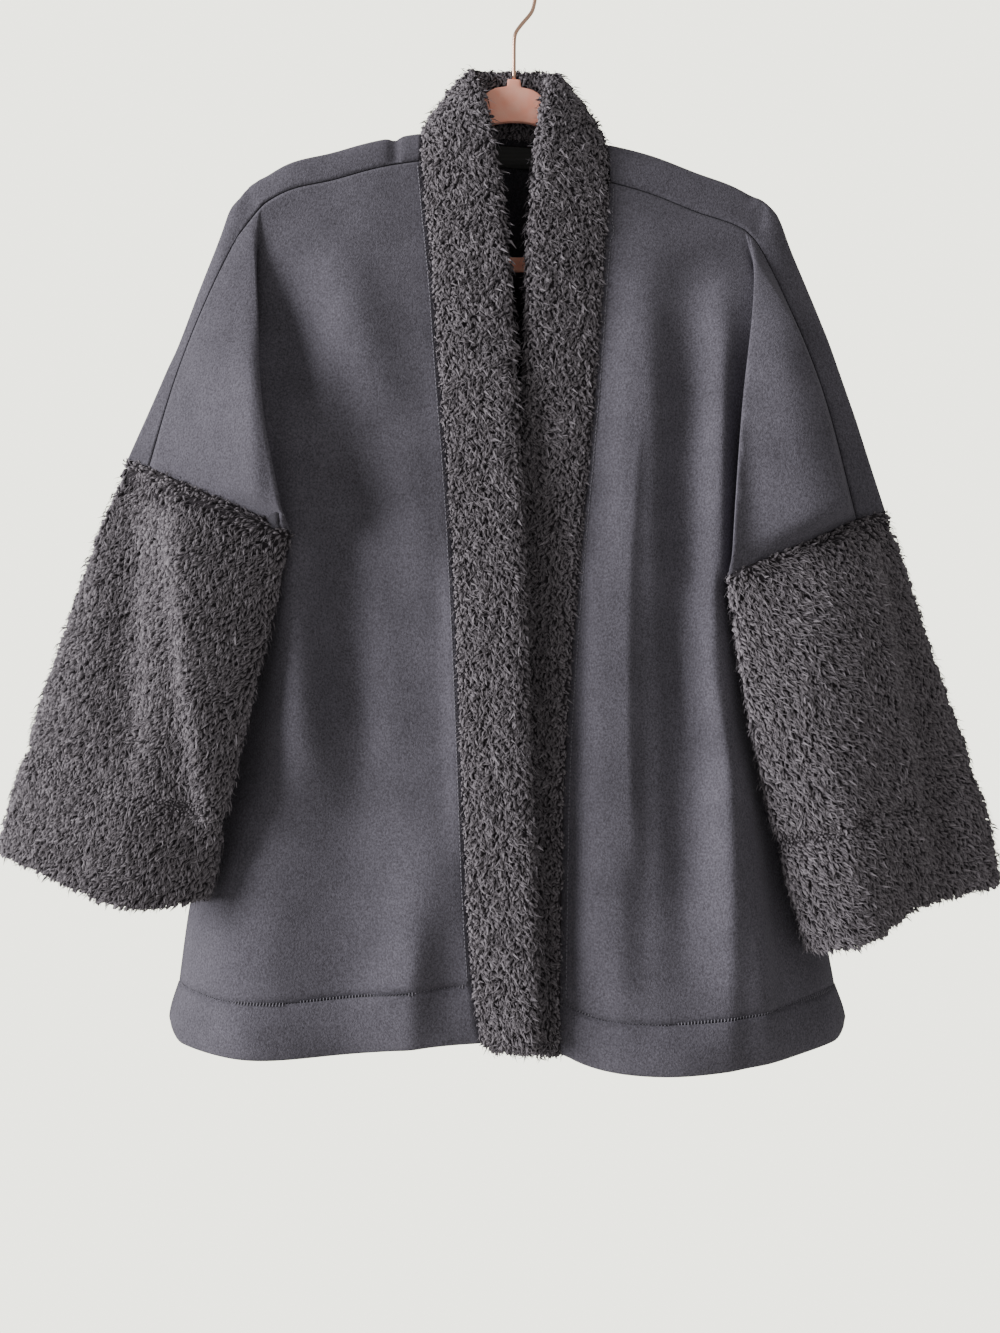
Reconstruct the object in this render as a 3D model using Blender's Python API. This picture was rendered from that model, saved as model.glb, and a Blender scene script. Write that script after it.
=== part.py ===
"""Sherpa fleece jacket hanging on a flat velvet hanger.

The fleece fronts and back are cut in one with the upper sleeves, the lower sleeves and the front
band with its stand collar are sherpa, and the hem is turned up double. Lengths in the tables are
millimetres: `out` is the distance from the middle of the garment, `depth` is negative towards the
front, and `drop` is how far a point hangs below the hook. "right" and "left" are the wearer's.
"""
import math

import bmesh
import bpy
import numpy as np
from mathutils import Vector
from mathutils.geometry import tessellate_polygon

for leftover in list(bpy.data.objects):
    bpy.data.objects.remove(leftover, do_unlink=True)

MM = 0.001
SIGN = {"right": -1.0, "left": 1.0}


def table(columns, *rows):
    """A short table as named columns of numbers."""
    return dict(zip(columns.split(), np.array(rows, float).T))


# Cloth
FLEECE = 3.0            # one layer of fleece
HEM_FOLD = 5.0          # fleece turned up double
HEM_PUFF = 1.5          # the turned hem stands proud of the panel above it
SHERPA_BACKING = 4.0    # cloth and pile on the inside of a lower sleeve
SHERPA_PILE = 4.0       # pile on its outside
BAND_THICK = 15.0       # front band, folded double, with its pile
SEAM_GAP = 0.3
RIM_DRAW = 0.6          # share of the gap that each of two panels leaves at a seam
UNDERARM_GAP = 1.4      # further gap where front, back and sleeve meet under the arm,
UNDERARM_REACH = 30.0   # fading out this far from there
NECK_MARGIN = 2.4       # the collar stands this much further off the neckline's cut edge at the
NECK_MARGIN_FROM, NECK_MARGIN_TO, NECK_MARGIN_OVER = -0.15, 0.85, 0.3    # shoulders
LABEL_THICK = 0.8
LABEL_GAP = 0.9         # tape to back, which is curved here
LABEL_ROWS = slice(2, 7)    # rows of the back that the label spans

# The hanger hangs askew, and the shoulders with it
TILT = math.tan(math.radians(3.0))
HANGER_THICK = 5.5
ARM_CLEARANCE = 0.45
ARM_END_DIP = 3.5       # the arms bend down a little towards their ends
BAR_TOP, BAR_BOTTOM = 247.6, 259.3
WIRE = 3.4
HOOK_RADIUS = 19.0      # inside of the hook's bend

# Rows run down the garment: 0 at the front shoulder seam, 1 at the underarm, 2 at the hem seam and
# 2.2 at the hem. On the back, rows up to OVER carry the cloth over the shoulder.
OVER = 0.2
UPPER_ROWS = (0, 0.04, 0.075, 0.125, 0.16, OVER, 0.28, 0.37, 0.47, 0.58, 0.69, 0.80, 0.91, 1)
LOWER_ROWS = (1, 1.1, 1.22, 1.35, 1.5, 1.65, 1.8, 1.9, 2)
HEM_ROWS = (2, 2.1, 2.2)
CUFF_ROWS = (0, 0.06, 0.14, 0.3, 0.5, 0.7, 0.88, 1)
BAND_ROWS = (2.2, 2.12, 2, 1.875, 1.75, 1.625, 1.5, 1.375, 1.25, 1.125, 1, 0.875, 0.75, 0.625, 0.5,
             0.375, 0.25, 0.125, 0)
BAND_NECK_ROWS = 11     # from the shoulder seam to the centre back
BODY_COLUMNS, SLEEVE_COLUMNS, NECK_COLUMNS = 14, 9, 4
SECTION_POINTS = 12
SECTION_SOFTNESS = 2 / 3    # the band's section is between an oval and a box
SLEEVE_FRONT_STOPS = (0, 0.3, 0.62, 1)    # root, ridge, front and seam on the way round a sleeve
SLEEVE_BACK_STOPS = (0, 0.3, 0.65, 1)     # seam, outer edge, back and root
SMOOTH_BELOW = math.radians(50)

# The top line of both shoulders, before the tilt
SHOULDER = table("out drop", (60, 149), (74, 151.5), (109, 159), (142, 170), (184, 183), (205, 197))
SHOULDER_HALF_DEPTH = 14.0
FRONT_SEAM_BELOW = {"right": 26.0, "left": 36.0}    # shoulder seam below the top line
BACK_SHOULDER_BELOW = 26.0

# The neckline and the collar's free edge, from the front shoulder seam (0) to the centre back (1),
# before the tilt. `turn` is where on the shoulder's arch the neckline lies, -1 front to 1 back.
NECK = table(
    "along turn seam_out seam_depth seam_drop free_out free_depth free_drop",
    (0.15, -0.40, 75, -7, 158, 21, -18, 126),
    (0.30, 0.15, 72, 3, 151, 29, -3, 101),
    (0.55, 0.45, 58, 14, 148.5, 26, 8, 94),
    (0.80, 0.50, 28, 22, 146, 13, 13.5, 93),
    (1.00, 0.50, 0, 24, 145, 0, 15, 93),
)

# The band down each front: its seam to the front, and its free edge. The right one lies on top.
BAND = {
    "right": table(
        "row seam_out seam_depth seam_drop free_out free_depth free_drop",
        (0.0, 74, -14, 174, 13, -24, 165),
        (0.2, 66, -28, 245, 4, -34, 240),
        (0.6, 58, -43, 345, -3, -48, 345),
        (1.0, 49, -55, 460, -8, -60, 462),
        (1.4, 42, -62, 600, -11, -69, 602),
        (1.8, 36, -64, 755, -18, -72, 757),
        (2.0, 32, -63, 818, -19, -72, 822),
        (2.2, 24, -61, 862, -17, -71, 866),
    ),
    "left": table(
        "row seam_out seam_depth seam_drop free_out free_depth free_drop",
        (0.0, 76, -14, 191, 15, -24, 172),
        (0.2, 71, -26, 250, 9, -33, 248),
        (0.6, 63, -38, 355, 7, -38, 352),
        (1.0, 50, -43, 500, -8, -39, 500),
        (1.4, 40, -46, 640, -18, -42, 640),
        (1.8, 37, -49, 775, -20, -43, 775),
        (2.0, 36, -51, 833, -21, -43, 833),
        (2.2, 37, -51, 873, -20, -42, 872),
    ),
}

# Lines that the fronts and the upper sleeves pass through. `root` is the deep crease between body
# and sleeve, and below the underarm the side seam; `ridge` is the sleeve's inner edge; `seam` is
# the shoulder seam running down the sleeve.
FRONT_LINES = {
    "right": {
        "root": table(
            "row out depth drop",
            (0.0, 198, -14, 208), (0.2, 210, -11, 285), (0.6, 209, -12, 378), (1.0, 206, -6, 488),
            (1.4, 232, 6, 628), (1.8, 262, 11, 765), (2.0, 270.5, 12, 828), (2.2, 277, 12, 872)),
        "ridge": table(
            "row out depth drop",
            (0.0, 206, -14, 217), (0.2, 200, -30, 283), (0.6, 190, -50, 373), (1.0, 169, -58, 473)),
        "seam": table(
            "row out depth drop",
            (0.0, 220, -14, 235), (0.2, 237, -16, 270), (0.6, 266, -20, 343), (1.0, 287, -25, 418)),
    },
    "left": {
        "root": table(
            "row out depth drop",
            (0.0, 183, -14, 229), (0.2, 196, -11, 290), (0.6, 192, -12, 392), (1.0, 192, -6, 522),
            (1.4, 218, 6, 645), (1.8, 248, 11, 774), (2.0, 259, 12, 830), (2.2, 266, 12, 870)),
        "ridge": table(
            "row out depth drop",
            (0.0, 191, -14, 237), (0.2, 184, -30, 288), (0.6, 171, -50, 385), (1.0, 161, -58, 507)),
        "seam": table(
            "row out depth drop",
            (0.0, 199, -14, 250), (0.2, 213, -16, 280), (0.6, 244, -20, 358), (1.0, 269, -25, 459)),
    },
}
SLEEVE_BULGE = table("row depth", (0, 0), (0.2, 3), (0.6, 9), (1, 12))
FRONT_MIDDLE = table("row depth", (0, -14), (0.2, -31), (0.6, -47), (1, -59), (1.4, -67), (1.8, -74),
                     (2, -76), (2.2, -76))
SIDE_TURN = table("row power", (0, 2.4), (0.6, 1.7), (1, 1.45), (1.4, 1.8), (1.8, 2.4), (2.2, 2.4))
SIDE_ROUNDING = 0.62
BAND_EASE = 0.4         # share of the width over which the front rises from the band seam
BOW_ROWS = 0.6          # the shoulder seam's bow has gone by this row
HEM_SAG = {"right": 9.0, "left": 13.5}        # the fronts hang lowest between band and side,
HEM_SAG_SKEW = {"right": 1.5, "left": 0.6}    # over 1 nearer the side

# Lines that the back and the back of the upper sleeves pass through.
BACK_LINES = {
    "right": {
        "outer": table(
            "row out depth drop",
            (0.0, 213, -14, 226), (0.1, 224, -8, 209), (0.2, 237, -4, 237), (0.6, 271, -5, 327),
            (1.0, 308, -8, 411)),
        "sleeve_back": table(
            "row out depth drop",
            (0.0, 206, -14, 217), (0.1, 212, -1, 195), (0.2, 217, 10, 222), (0.6, 243, 16, 339),
            (1.0, 262, 18, 446)),
        "back_root": table(
            "row out depth drop",
            (0.0, 198, -14, 208), (0.1, 202, 0, 184), (0.2, 206, 13, 213), (0.6, 214, 18, 350),
            (1.0, 206, -6, 488)),
    },
    "left": {
        "outer": table(
            "row out depth drop",
            (0.0, 195, -14, 243), (0.1, 209, -8, 219), (0.2, 221, -4, 243), (0.6, 256, -5, 326),
            (1.0, 297, -8, 452)),
        "sleeve_back": table(
            "row out depth drop",
            (0.0, 191, -14, 237), (0.1, 198, -1, 204), (0.2, 204, 10, 237), (0.6, 227, 16, 350),
            (1.0, 250, 18, 486)),
        "back_root": table(
            "row out depth drop",
            (0.0, 183, -14, 229), (0.1, 188, 0, 194.5), (0.2, 192, 13, 226), (0.6, 198, 18, 372),
            (1.0, 192, -6, 522)),
    },
}
BACK_MIDDLE = table("row depth", (0.2, 14), (0.6, 30), (1, 37), (1.4, 42), (1.8, 46), (2, 47), (2.2, 47))
CENTRE_BACK = table("row drop", (1, 500), (1.4, 640), (1.8, 775), (2, 832), (2.2, 877))

# The lower sleeves: an oval tube through six lines, from the sherpa seam (0) to the cuff (1).
CUFF_LINES = {
    "right": {
        "root": table(
            "row out depth drop", (0.12, 215, -22, 517), (0.5, 228, -28, 605), (1, 254, -26, 757)),
        "ridge": table("row out depth drop", (0.5, 204, -57, 612), (1, 237, -50, 753)),
        "front": table("row out depth drop", (0.5, 262, -64, 598), (1, 290, -66, 760)),
        "seam": table("row out depth drop", (0.5, 326, -38, 575), (1, 360, -44, 737)),
        "outer": table(
            "row out depth drop", (0.5, 361, -9, 560), (0.8, 394, -9, 655), (1, 411, -8, 720)),
        "sleeve_back": table("row out depth drop", (0.5, 296, 17, 583), (1, 330, 16, 743)),
    },
    "left": {
        "root": table(
            "row out depth drop", (0.12, 201, -22, 552), (0.5, 212, -28, 652), (1, 242, -27, 796)),
        "ridge": table("row out depth drop", (0.5, 187, -57, 652), (1, 226, -52, 793)),
        "front": table("row out depth drop", (0.5, 234, -65, 640), (1, 262, -66, 788)),
        "seam": table("row out depth drop", (0.5, 290, -30, 612), (1, 312, -34, 761)),
        "outer": table(
            "row out depth drop", (0.5, 343, -9, 596), (0.8, 378, -9, 688), (1, 388, -9, 747)),
        "sleeve_back": table("row out depth drop", (0.5, 280, 17, 625), (1, 310, 16, 768)),
    },
}

# Folds: soft ridges (height over 0) and troughs that run down a panel from one place to another.
# They fade in and out along their length, and towards the edges of the panel.
FOLD_FADE_IN, FOLD_FADE_OUT = 0.25, 0.2
FOLD_EDGE = {"band": 0.12, "side": 0.15, "shoulder": 0.12, "over": 0.2}
FOLD_COLUMNS = "from_out from_drop to_out to_drop half_width height"
FRONT_FOLDS = {
    "right": table(
        FOLD_COLUMNS,
        (186, 235, 128, 690, 24, -15),
        (146, 215, 62, 520, 22, 8),
        (132, 320, 96, 700, 18, 7),
        (44, 690, 96, 850, 16, 11),
        (38, 730, 62, 880, 11, -9),
        (205, 640, 214, 930, 30, 6),
    ),
    "left": table(
        FOLD_COLUMNS,
        (100, 215, 78, 930, 20, 15),
        (137, 235, 129, 860, 20, -14),
        (163, 235, 148, 640, 15, 9),
        (146, 480, 200, 930, 18, 10),
    ),
}
BACK_FOLDS = {
    "right": table(
        FOLD_COLUMNS,
        (150, 260, 96, 930, 26, 8),
        (178, 300, 168, 930, 22, -8),
        (40, 300, 34, 930, 30, -6),
    ),
    "left": table(
        FOLD_COLUMNS,
        (140, 270, 112, 930, 24, 9),
        (168, 330, 186, 930, 24, -7),
        (64, 340, 60, 930, 28, -6),
    ),
}
BACK_FOLD_START = 40.0    # no fold on the centre back itself
BACK_NECK_ROWS = 0.5      # rows over which the back leaves the neckline's own depth
ROOT_PULL = 6             # how closely the pull towards the sleeve's root keeps to it

# The hanger's top edge inside the neck, before the tilt
HANGER_NECK = table("out drop", (0, 105.2), (5.2, 105.2), (5.8, 111.5), (19, 112.5), (31, 128), (50, 150),
                    (66, 163))
ARM_SEAT = math.radians(22.5)    # the arch is flat over the arm to this angle
ARM_ENDS = np.linspace(84, 188, 9)
ARM_DIP_FROM, ARM_DIP_OVER = 150.0, 40.0
ARM_HEIGHT = 15.0
TIP = 196.0
# The ends of the arms, half of the tilt at the bar's corners and none at the bar
HANGER_END = table("out drop tilt", (193, 201, 1), (195.5, 209, 1), (194.5, 222, 1),
                   (188, BAR_BOTTOM - 8, 0.5), (176, BAR_BOTTOM, 0))
HOLE_TOP = table("out drop", (0, 138.8), (24, 140.8))
HOLE_ARM = np.array([84, 112, 142, 166, 177])
HOLE_END = table("out drop tilt", (182, 220, 1), (179, BAR_TOP - 4, 0.5), (170, BAR_TOP, 0))
HANGER_EDGE = 0.8         # eased edges
HOOK_STEM = table("out drop", (0, 88), (0, 71), (1.6, 66.5), (7.5, 59), (14.2, 52), (16.2, 46))
HOOK_BEND = np.radians(np.linspace(-25, 195, 15))

COLOURS = {   # base colour, roughness, metallic
    "fleece": ((0.115, 0.108, 0.125), 0.95, 0.0),
    "sherpa": ((0.100, 0.093, 0.098), 0.95, 0.0),
    "label": ((0.008, 0.008, 0.009), 0.60, 0.0),
    "velvet": ((0.640, 0.330, 0.270), 0.90, 0.0),
    "hook_metal": ((0.820, 0.560, 0.460), 0.25, 1.0),
}


def through(stops, values, at):
    """A smooth curve through the values at the stops, read at the places `at`."""
    stops = np.asarray(stops, float)
    values = np.asarray(values, float)
    at = np.atleast_1d(np.asarray(at, float))
    slopes = np.gradient(values, stops, axis=0)
    k = np.clip(np.searchsorted(stops, at, side="right") - 1, 0, len(stops) - 2)
    span = stops[k + 1] - stops[k]
    s = (at - stops[k]) / span
    if values.ndim > 1:
        span, s = span[:, None], s[:, None]
    start = values[k] * (1 + 2 * s) * (1 - s) ** 2 + slopes[k] * span * s * (1 - s) ** 2
    end = values[k + 1] * s * s * (3 - 2 * s) + slopes[k + 1] * span * s * s * (s - 1)
    return start + end


def ease(s):
    """0 below 0, 1 above 1, and a smooth step between."""
    s = np.clip(s, 0, 1)
    return s * s * (3 - 2 * s)


def line(tab, row, prefix=""):
    """The point (out, depth, drop) of a table's line at one row."""
    names = [prefix + name for name in ("out", "depth", "drop")]
    stops = tab["row"] if "row" in tab else tab["along"]
    return through(stops, np.stack([tab[name] for name in names], 1), row)[0]


def tilted(side, out, drop):
    return drop + SIGN[side] * TILT * out


def shoulder_top(side, out):
    """Drop of the shoulder's top line."""
    return tilted(side, out, through(SHOULDER["out"], SHOULDER["drop"], out))


def band_lines(side):
    """Seam and free edge of one half of the band, from the hem (-2.2) to the centre back (1)."""
    front = BAND[side]
    joined = {"along": np.concatenate([-front["row"][::-1], NECK["along"]])}
    for edge in ("seam", "free"):
        for name in ("out", "depth"):
            key = f"{edge}_{name}"
            joined[key] = np.concatenate([front[key][::-1], NECK[key]])
        neck_drop = tilted(side, NECK[f"{edge}_out"], NECK[f"{edge}_drop"])
        joined[f"{edge}_drop"] = np.concatenate([front[f"{edge}_drop"][::-1], neck_drop])
    return joined


def fold_height(folds, out, drop):
    """How far the folds lift the cloth outwards at each point."""
    lift = np.zeros_like(out)
    for i in range(len(folds["height"])):
        fold = {name: column[i] for name, column in folds.items()}
        s = (drop - fold["from_drop"]) / (fold["to_drop"] - fold["from_drop"])
        centre = fold["from_out"] + (fold["to_out"] - fold["from_out"]) * s
        fade = ease(s / FOLD_FADE_IN) * ease((1 - s) / FOLD_FADE_OUT)
        lift += fold["height"] * fade * np.exp(-(((out - centre) / fold["half_width"]) ** 2))
    return lift


def rounded(q, power=2.4):
    """The panel's depth across its width: flat in the middle, turning back towards the side."""
    return np.maximum(1 - q ** power, 0) ** SIDE_ROUNDING


def front_body(side, q, row):
    """A row of the front from the band seam (q 0) to the sleeve's root or side seam (q 1)."""
    edges = band_lines(side)
    roots = FRONT_LINES[side]["root"]
    edge, root = line(edges, -row, "seam_"), line(roots, row)
    edge0, root0 = line(edges, 0, "seam_"), line(roots, 0)
    middle = through(FRONT_MIDDLE["row"], FRONT_MIDDLE["depth"], row)[0]
    out = edge[0] + (root[0] - edge[0]) * q
    drop = edge[2] + (root[2] - edge[2]) * q
    out0 = edge0[0] + (root0[0] - edge0[0]) * q
    bow = shoulder_top(side, out0) + FRONT_SEAM_BELOW[side] - (edge0[2] + (root0[2] - edge0[2]) * q)
    bow = bow - bow[0] * (1 - q) - bow[-1] * q
    sag = HEM_SAG[side] * np.sin(math.pi * q ** HEM_SAG_SKEW[side])
    drop = drop + bow * (1 - ease(row / BOW_ROWS)) + sag * ease(row - 1)
    face = edge[1] + (middle - edge[1]) * ease(q / BAND_EASE)
    power = through(SIDE_TURN["row"], SIDE_TURN["power"], row)[0]
    depth = root[1] + (face - root[1]) * rounded(q, power)
    kept = ease(q / FOLD_EDGE["band"]) * ease((1 - q) / FOLD_EDGE["side"])
    kept = kept * ease(row / FOLD_EDGE["shoulder"])
    depth = depth - fold_height(FRONT_FOLDS[side], out, drop) * kept
    return np.stack([out, depth, drop], 1)


def sleeve_front(side, p, row):
    """A row of the sleeve's front from its root (p 0) over its inner ridge to the seam (p 1)."""
    lines = FRONT_LINES[side]
    root, ridge, seam = (line(lines[name], row) for name in ("root", "ridge", "seam"))
    front = (ridge + seam) / 2
    front[1] -= through(SLEEVE_BULGE["row"], SLEEVE_BULGE["depth"], row)[0]
    return through(SLEEVE_FRONT_STOPS, [root, ridge, front, seam], p)


def sleeve_back(side, p, row):
    """A row of the sleeve's back from the seam (p 0) round its outer edge to its root (p 1)."""
    lines = BACK_LINES[side]
    stops = [line(FRONT_LINES[side]["seam"], row)]
    stops += [line(lines[name], row) for name in ("outer", "sleeve_back", "back_root")]
    return through(SLEEVE_BACK_STOPS, stops, p)


def neck_turn(along):
    """Where on the shoulder's arch the neckline lies, from the shoulder seam to the centre back."""
    return through(np.append(0, NECK["along"]), np.append(-1, NECK["turn"]), along)


def back_columns(side, q, n):
    """Where each back column starts: its distance out, its place on the shoulder's arch, and the
    arch's own centre. Shoulder columns (q) come first, from the root inwards, then neck columns."""
    edges = band_lines(side)
    root0 = line(FRONT_LINES[side]["root"], 0)
    edge0 = line(edges, 0, "seam_")
    shoulder_out = edge0[0] + (root0[0] - edge0[0]) * q
    neck = np.array([line(edges, 1 - value, "seam_") for value in n])
    turn = neck_turn(1 - n)
    arch = turn * math.pi / 2
    below = np.where(turn < 0, FRONT_SEAM_BELOW[side], BACK_SHOULDER_BELOW)
    neck_top = neck[:, 2] - below * (1 - np.cos(arch))
    neck_depth = neck[:, 1] - SHOULDER_HALF_DEPTH * np.sin(arch)
    return {
        "out": np.concatenate([shoulder_out, neck[:, 0]]),
        "turn": np.concatenate([np.full(len(q), -1.0), turn]),
        "top": np.concatenate([shoulder_top(side, shoulder_out), neck_top]),
        "centre": np.concatenate([np.zeros(len(q)), neck_depth]),
    }


def back_body(side, q, n, row):
    """A row of the back from the sleeve's root (q 1) to the neck (q 0), then to the centre back
    (n 0). The first rows go over the shoulder."""
    start = back_columns(side, q, n)
    wide = np.concatenate([q, n * 0])
    inner = start["out"][len(q) - 1]
    roots = BACK_LINES[side]["back_root"] if row < 1 else FRONT_LINES[side]["root"]
    root = line(roots, row)
    behind = line(BACK_LINES[side]["back_root"], max(row, OVER) if row < 1 else 1)
    reach = root[0] if row >= OVER else behind[0]
    out = np.concatenate([inner + (reach - inner) * q, inner * n])
    over = min(row / OVER, 1)
    out = start["out"] + (out - start["out"]) * ease(over)
    arch = (start["turn"] + (1 - start["turn"]) * over) * math.pi / 2
    below = np.where(arch < 0, FRONT_SEAM_BELOW[side], BACK_SHOULDER_BELOW)
    depth = start["centre"] + SHOULDER_HALF_DEPTH * np.sin(arch)
    drop = start["top"] + below * (1 - np.cos(arch))
    if row > OVER:
        across = np.clip(out / root[0], 0, 1)
        middle = through(BACK_MIDDLE["row"], BACK_MIDDLE["depth"], row)[0]
        centre = through(CENTRE_BACK["row"], CENTRE_BACK["drop"], max(row, 1))[0]
        side_drop = line(FRONT_LINES[side]["root"], max(row, 1))[2]
        level = centre + (side_drop - centre) * across ** 2
        drop = drop + (level - drop) * ease(0.5 * min((row - OVER) / (1 - OVER), 1)) * 2
        depth = root[1] + (middle - root[1]) * rounded(across)
        depth = depth + start["centre"] * (1 - ease((row - OVER) / BACK_NECK_ROWS))
        kept = ease(out / BACK_FOLD_START) * ease((1 - across) / FOLD_EDGE["side"])
        kept = kept * ease((row - OVER) / FOLD_EDGE["over"])
        depth = depth + fold_height(BACK_FOLDS[side], out, drop) * kept
    points = np.stack([out, depth, drop], 1)
    return points + (root - points[0]) * (wide ** ROOT_PULL)[:, None]


def cuff_ring(side, p, row):
    """One ring of the lower sleeve: its front from root to seam, then its back round to the root."""
    stops = {}
    for name, tab in CUFF_LINES[side].items():
        if name == "front":
            first = sleeve_front(side, SLEEVE_FRONT_STOPS[2], 1)[0]
        else:
            group = FRONT_LINES if name in FRONT_LINES[side] else BACK_LINES
            first = line(group[side][name], 1)
        rows = np.concatenate([[0], tab["row"]])
        values = np.vstack([first, np.stack([tab["out"], tab["depth"], tab["drop"]], 1)])
        stops[name] = through(rows, values, row)[0]
    front = [stops[name] for name in ("root", "ridge", "front", "seam")]
    back = [stops[name] for name in ("seam", "outer", "sleeve_back", "root")]
    return np.vstack([through(SLEEVE_FRONT_STOPS, front, p), through(SLEEVE_BACK_STOPS, back, p)[1:]])


def world(side, points):
    """Table millimetres as a place in the part's frame, still in millimetres."""
    return np.stack([SIGN[side] * points[..., 0], points[..., 1], -points[..., 2]], -1)


def jacket_grids():
    """Every cloth panel as grids of points that share their seams, with pile and thickness."""
    u = np.linspace(0, 1, BODY_COLUMNS + 1)
    q = 0.5 * u + 0.5 * np.sin(u * math.pi / 2)
    p = np.linspace(0, 1, SLEEVE_COLUMNS + 1)
    n = np.linspace(1, 0, NECK_COLUMNS + 1)[1:]
    panels = {}
    halves = {}
    for side in SIGN:
        upper, lower, hem = (np.array([front_body(side, q, row) for row in rows])
                             for rows in (UPPER_ROWS, LOWER_ROWS, HEM_ROWS))
        back, back_low, back_hem = (np.array([back_body(side, q[::-1], n, row) for row in rows])
                                    for rows in (UPPER_ROWS, LOWER_ROWS, HEM_ROWS))
        arm_front = np.array([sleeve_front(side, p, row)[1:] for row in UPPER_ROWS])
        arm_back = np.array([sleeve_back(side, p, row) for row in UPPER_ROWS])
        upper = np.concatenate([upper, arm_front], 1)
        back = np.concatenate([arm_back, back[:, 1:]], 1)
        cuff = np.array([cuff_ring(side, p, row) for row in CUFF_ROWS])
        shared = upper.shape[1]
        back[0, :shared] = upper[0, ::-1]
        back[:, 0] = upper[:, -1]
        back[-1, SLEEVE_COLUMNS:] = back_low[0]
        back[-1, SLEEVE_COLUMNS] = upper[-1, BODY_COLUMNS]
        back_low[0, 0] = lower[0, -1] = upper[-1, BODY_COLUMNS]
        back_low[1:, 0] = lower[1:, -1]
        back_hem[:, 0] = hem[:, -1]
        cuff[0] = np.vstack([upper[-1, BODY_COLUMNS:], back[-1, 1:SLEEVE_COLUMNS + 1]])
        halves[side] = [world(side, grid) for grid in (back, back_low, back_hem)]
        flip = side == "right"
        panels[f"front_{side}"] = [(world(side, grid), flip, 0.0, FLEECE) for grid in (upper, lower)]
        puff = HEM_PUFF * np.sin(np.linspace(0, 1, len(HEM_ROWS)) * math.pi * 0.6)[:, None]
        panels[f"hem_front_{side}"] = [(world(side, hem), flip, puff, HEM_FOLD)]
        grown = ease(np.array(CUFF_ROWS) / CUFF_ROWS[2])[:, None]
        wall = FLEECE + (SHERPA_PILE + SHERPA_BACKING - FLEECE) * grown
        panels[f"sleeve_{side}"] = [(world(side, cuff), flip, SHERPA_PILE * grown, wall)]
    panels["back"] = [(halves[side][i], side == "right", 0.0, FLEECE) for side in SIGN for i in (0, 1)]
    panels["hem_back"] = [(halves[side][2], side == "right", puff, HEM_FOLD) for side in SIGN]
    return panels


def weld(panels):
    """One list of points for all panels, so that neighbours share seam points and normals."""
    index, points = {}, []
    faces = {name: [] for name in panels}
    lift = {name: {} for name in panels}
    for name, grids in panels.items():
        for grid, flip, proud, thick in grids:
            rows, columns = grid.shape[:2]
            proud = np.broadcast_to(proud, (rows, columns))
            thick = np.broadcast_to(thick, (rows, columns))
            ids = np.zeros((rows, columns), int)
            for i in range(rows):
                for j in range(columns):
                    key = tuple(np.round(grid[i, j], 2))
                    if key not in index:
                        index[key] = len(points)
                        points.append(grid[i, j])
                    ids[i, j] = index[key]
                    lift[name][ids[i, j]] = (proud[i, j], thick[i, j])
            for i in range(rows - 1):
                for j in range(columns - 1):
                    quad = [ids[i, j], ids[i + 1, j], ids[i + 1, j + 1], ids[i, j + 1]]
                    faces[name].append(quad[::-1] if flip else quad)
    points = np.array(points)
    normals = np.zeros_like(points)
    for quads in faces.values():
        for quad in quads:
            corners = points[quad]
            facing = np.cross(corners[2] - corners[0], corners[3] - corners[1])
            facing /= np.linalg.norm(facing)
            for i in range(4):
                onward = corners[(i + 1) % 4] - corners[i]
                backward = corners[i - 1] - corners[i]
                angle = math.atan2(np.linalg.norm(np.cross(onward, backward)), onward @ backward)
                normals[quad[i]] += facing * angle
    normals /= np.linalg.norm(normals, axis=1)[:, None]
    return points, normals, faces, lift


def make_material(name):
    colour, roughness, metallic = COLOURS[name]
    material = bpy.data.materials.get(name) or bpy.data.materials.new(name)
    material.use_nodes = True
    shader = material.node_tree.nodes["Principled BSDF"]
    shader.inputs["Base Color"].default_value = (*colour, 1)
    shader.inputs["Roughness"].default_value = roughness
    shader.inputs["Metallic"].default_value = metallic
    return material


def add_object(name, data, material):
    data.materials.append(make_material(material))
    piece = bpy.data.objects.new(name, data)
    bpy.context.scene.collection.objects.link(piece)
    return piece


def add_mesh(name, points, faces, material):
    mesh = bpy.data.meshes.new(name)
    mesh.from_pydata([tuple(point * MM) for point in points], [], faces)
    mesh.shade_smooth()
    mesh.set_sharp_from_angle(angle=SMOOTH_BELOW)
    return add_object(name, mesh, material)


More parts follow.
